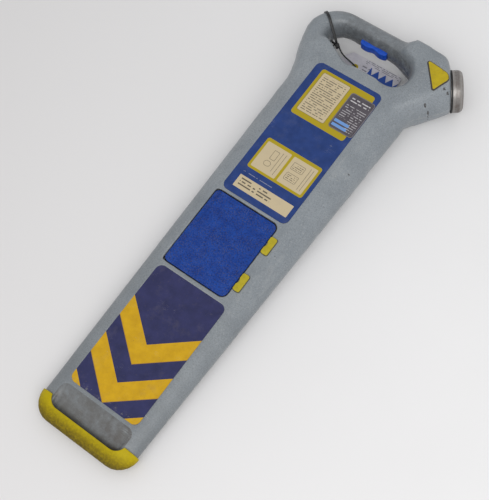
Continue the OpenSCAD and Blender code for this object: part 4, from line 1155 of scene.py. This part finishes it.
def on_door_face(co):
    spot = to_face @ co
    return spot.z > -NEAR and spot.x > ROUND_FROM - NEAR / 2


def on_latch_top(co):
    return (to_face @ co).z > LATCH_TOP


def on_trigger_edge(co):
    spot = to_seam @ co
    return abs(abs(spot.z) - TRIGGER_HALF) < NEAR and spot.y < TRIGGER_TO


soften("battery_door", 1.0, 4, on_door_face, split=ROUND_FROM)
for node in ("upper_latch", "lower_latch"):
    soften(node, 0.7, 3, on_latch_top)
soften("trigger", 1.3, 4, on_trigger_edge)
soften("bar_tie", 0.3, 2, lambda co: True)
for node in ("tag_tie", "sensitivity_knob", "function_knob", "nose_seal", "tag_card", "tag_eyelet",
             "case_screws"):
    soften(node)

# %% [markdown]
# The rubber foot is softer still. Bevels would leave flat strips on its lip, so its copy is remeshed into
# fine even cells and smoothed a little, which rounds the moulded lip as thick rubber would.

# %% Rubber foot
FOOT_CELL, FOOT_PASSES = 0.8 * MM, 4
boot = copy_node("foot_bumper", "rubber_foot")
merge(boot)
even_skin(boot, FOOT_CELL, FOOT_PASSES)
only(boot)
bpy.ops.object.shade_smooth()
place(boot, "case", "bumper_yellow", "foot_bumper")
dress(boot, "bumper_yellow")
print("rubber foot has", len(boot.data.polygons), "faces")

# %% [markdown]
# The yellow corner sticker is thin film, so it bends over the moulded corner of the head. The flat CAD
# sheet can't, so a fine grid is trimmed to the outline with straight cuts, dropped on to the case by a
# Shrinkwrap modifier and given its thickness by Solidify.

# %% Corner sticker
FILM_PLACE, FILM_SIZE, FILM_THICK, FILM_GAP = (84.5, 643.6, 12), (46, 42), 0.25 * MM, 0.05 * MM
bpy.ops.object.select_all(action="DESELECT")
bpy.ops.mesh.primitive_grid_add(x_subdivisions=60, y_subdivisions=56, size=1)
film_piece = bpy.context.object
film_piece.name = "corner_film"
spread = Matrix.Diagonal((FILM_SIZE[0] * MM, FILM_SIZE[1] * MM, 1, 1))
film_piece.data.transform(shift(*[c * MM for c in FILM_PLACE]) @ spread)
for spot, outward in trims:
    edit(film_piece, start="SELECT")
    bpy.ops.mesh.bisect(plane_co=(*spot * MM, 0), plane_no=(*outward, 0), clear_outer=True)
    done()
film_piece.data.transform(face_frame)
drop = film_piece.modifiers.new("drop", "SHRINKWRAP")
drop.target = front_half
drop.wrap_method = "PROJECT"
drop.use_project_z = True
drop.use_positive_direction = False
drop.use_negative_direction = True
drop.offset = FILM_GAP
apply(film_piece, drop)
thick = film_piece.modifiers.new("thick", "SOLIDIFY")
thick.thickness = FILM_THICK
thick.offset = 1
apply(film_piece, thick)
smooth(film_piece, 40)
place(film_piece, "case", "sticker_yellow", "triangle_sticker")
dress(film_piece, "sticker_yellow")
print("corner film has", len(film_piece.data.polygons), "faces")

# %% [markdown]
# The bright ring is turned metal. A cylinder with bevels could do, but a lathe is the natural way: the
# corners of a plane are merged to one point, that point is extruded along the half section, with a rounded
# lip and a fine groove, and the closed section is spun round the axis of the nose.

# %% Turned ring
SPIN_STEPS = 128
LIP_MIDDLE, LIP_OUT, LIP_UP = (22.9, 8.5), 5.3, 7
section = [(20.7, -5), (24.3, -5), (24.3, 1.3), (27.7, 1.3), (28.2, 1.8), (28.2, 3.3), (27.95, 3.5),
           (27.95, 3.9), (28.2, 4.1)]
for angle in [math.radians(a) for a in range(0, 91, 9)]:
    section.append((LIP_MIDDLE[0] + LIP_OUT * math.cos(angle), LIP_MIDDLE[1] + LIP_UP * math.sin(angle)))
section += [(22.5, 15.35), (22.25, 14.9), (22.25, 3.4), (20.7, 3.4), (20.7, -5)]
bpy.ops.object.select_all(action="DESELECT")
bpy.ops.mesh.primitive_plane_add(size=MM)
ring = bpy.context.object
ring.name = "nose_ring"
edit(ring, start="SELECT")
bpy.ops.mesh.merge(type="CENTER")
bpy.ops.mesh.select_all(action="SELECT")
bpy.ops.transform.translate(value=(section[0][0] * MM, 0, section[0][1] * MM))
for (r0, z0), (r1, z1) in zip(section, section[1:]):
    step = ((r1 - r0) * MM, 0, (z1 - z0) * MM)
    bpy.ops.mesh.extrude_vertices_move(TRANSFORM_OT_translate={"value": step})
bpy.ops.mesh.select_all(action="SELECT")
bpy.ops.mesh.remove_doubles(threshold=0.01 * MM)
bpy.ops.mesh.spin(steps=SPIN_STEPS, angle=2 * math.pi, center=(0, 0, 0), axis=(0, 0, 1))
bpy.ops.mesh.select_all(action="SELECT")
bpy.ops.mesh.remove_doubles(threshold=0.01 * MM)
bpy.ops.mesh.normals_make_consistent(inside=False)
done()
ring.data.transform(nose_frame)
smooth(ring, 30)
place(ring, "case", "bezel_metal", "nose_bezel")
dress(ring, "bezel_metal")
print("nose ring has", len(ring.data.polygons), "faces")

# %% [markdown]
# All other CAD pieces have the right shape already: labels, tray, cells, board, coils and the meter. They
# keep their meshes and only get the finish that the record names for them.

# %% Finishes of the CAD pieces that stay
for node, piece in nodes.items():
    if node not in ("front_shell", "rear_shell"):
        piece.data.materials.clear()
        piece.data.materials.append(finishes[slot_of[node]].material)
print(len(nodes), "nodes share", len(set(slot_of.values())), "finishes")

# %% [markdown]
# The dressed case can differ from the CAD model where a skin was smoothed or rounded.
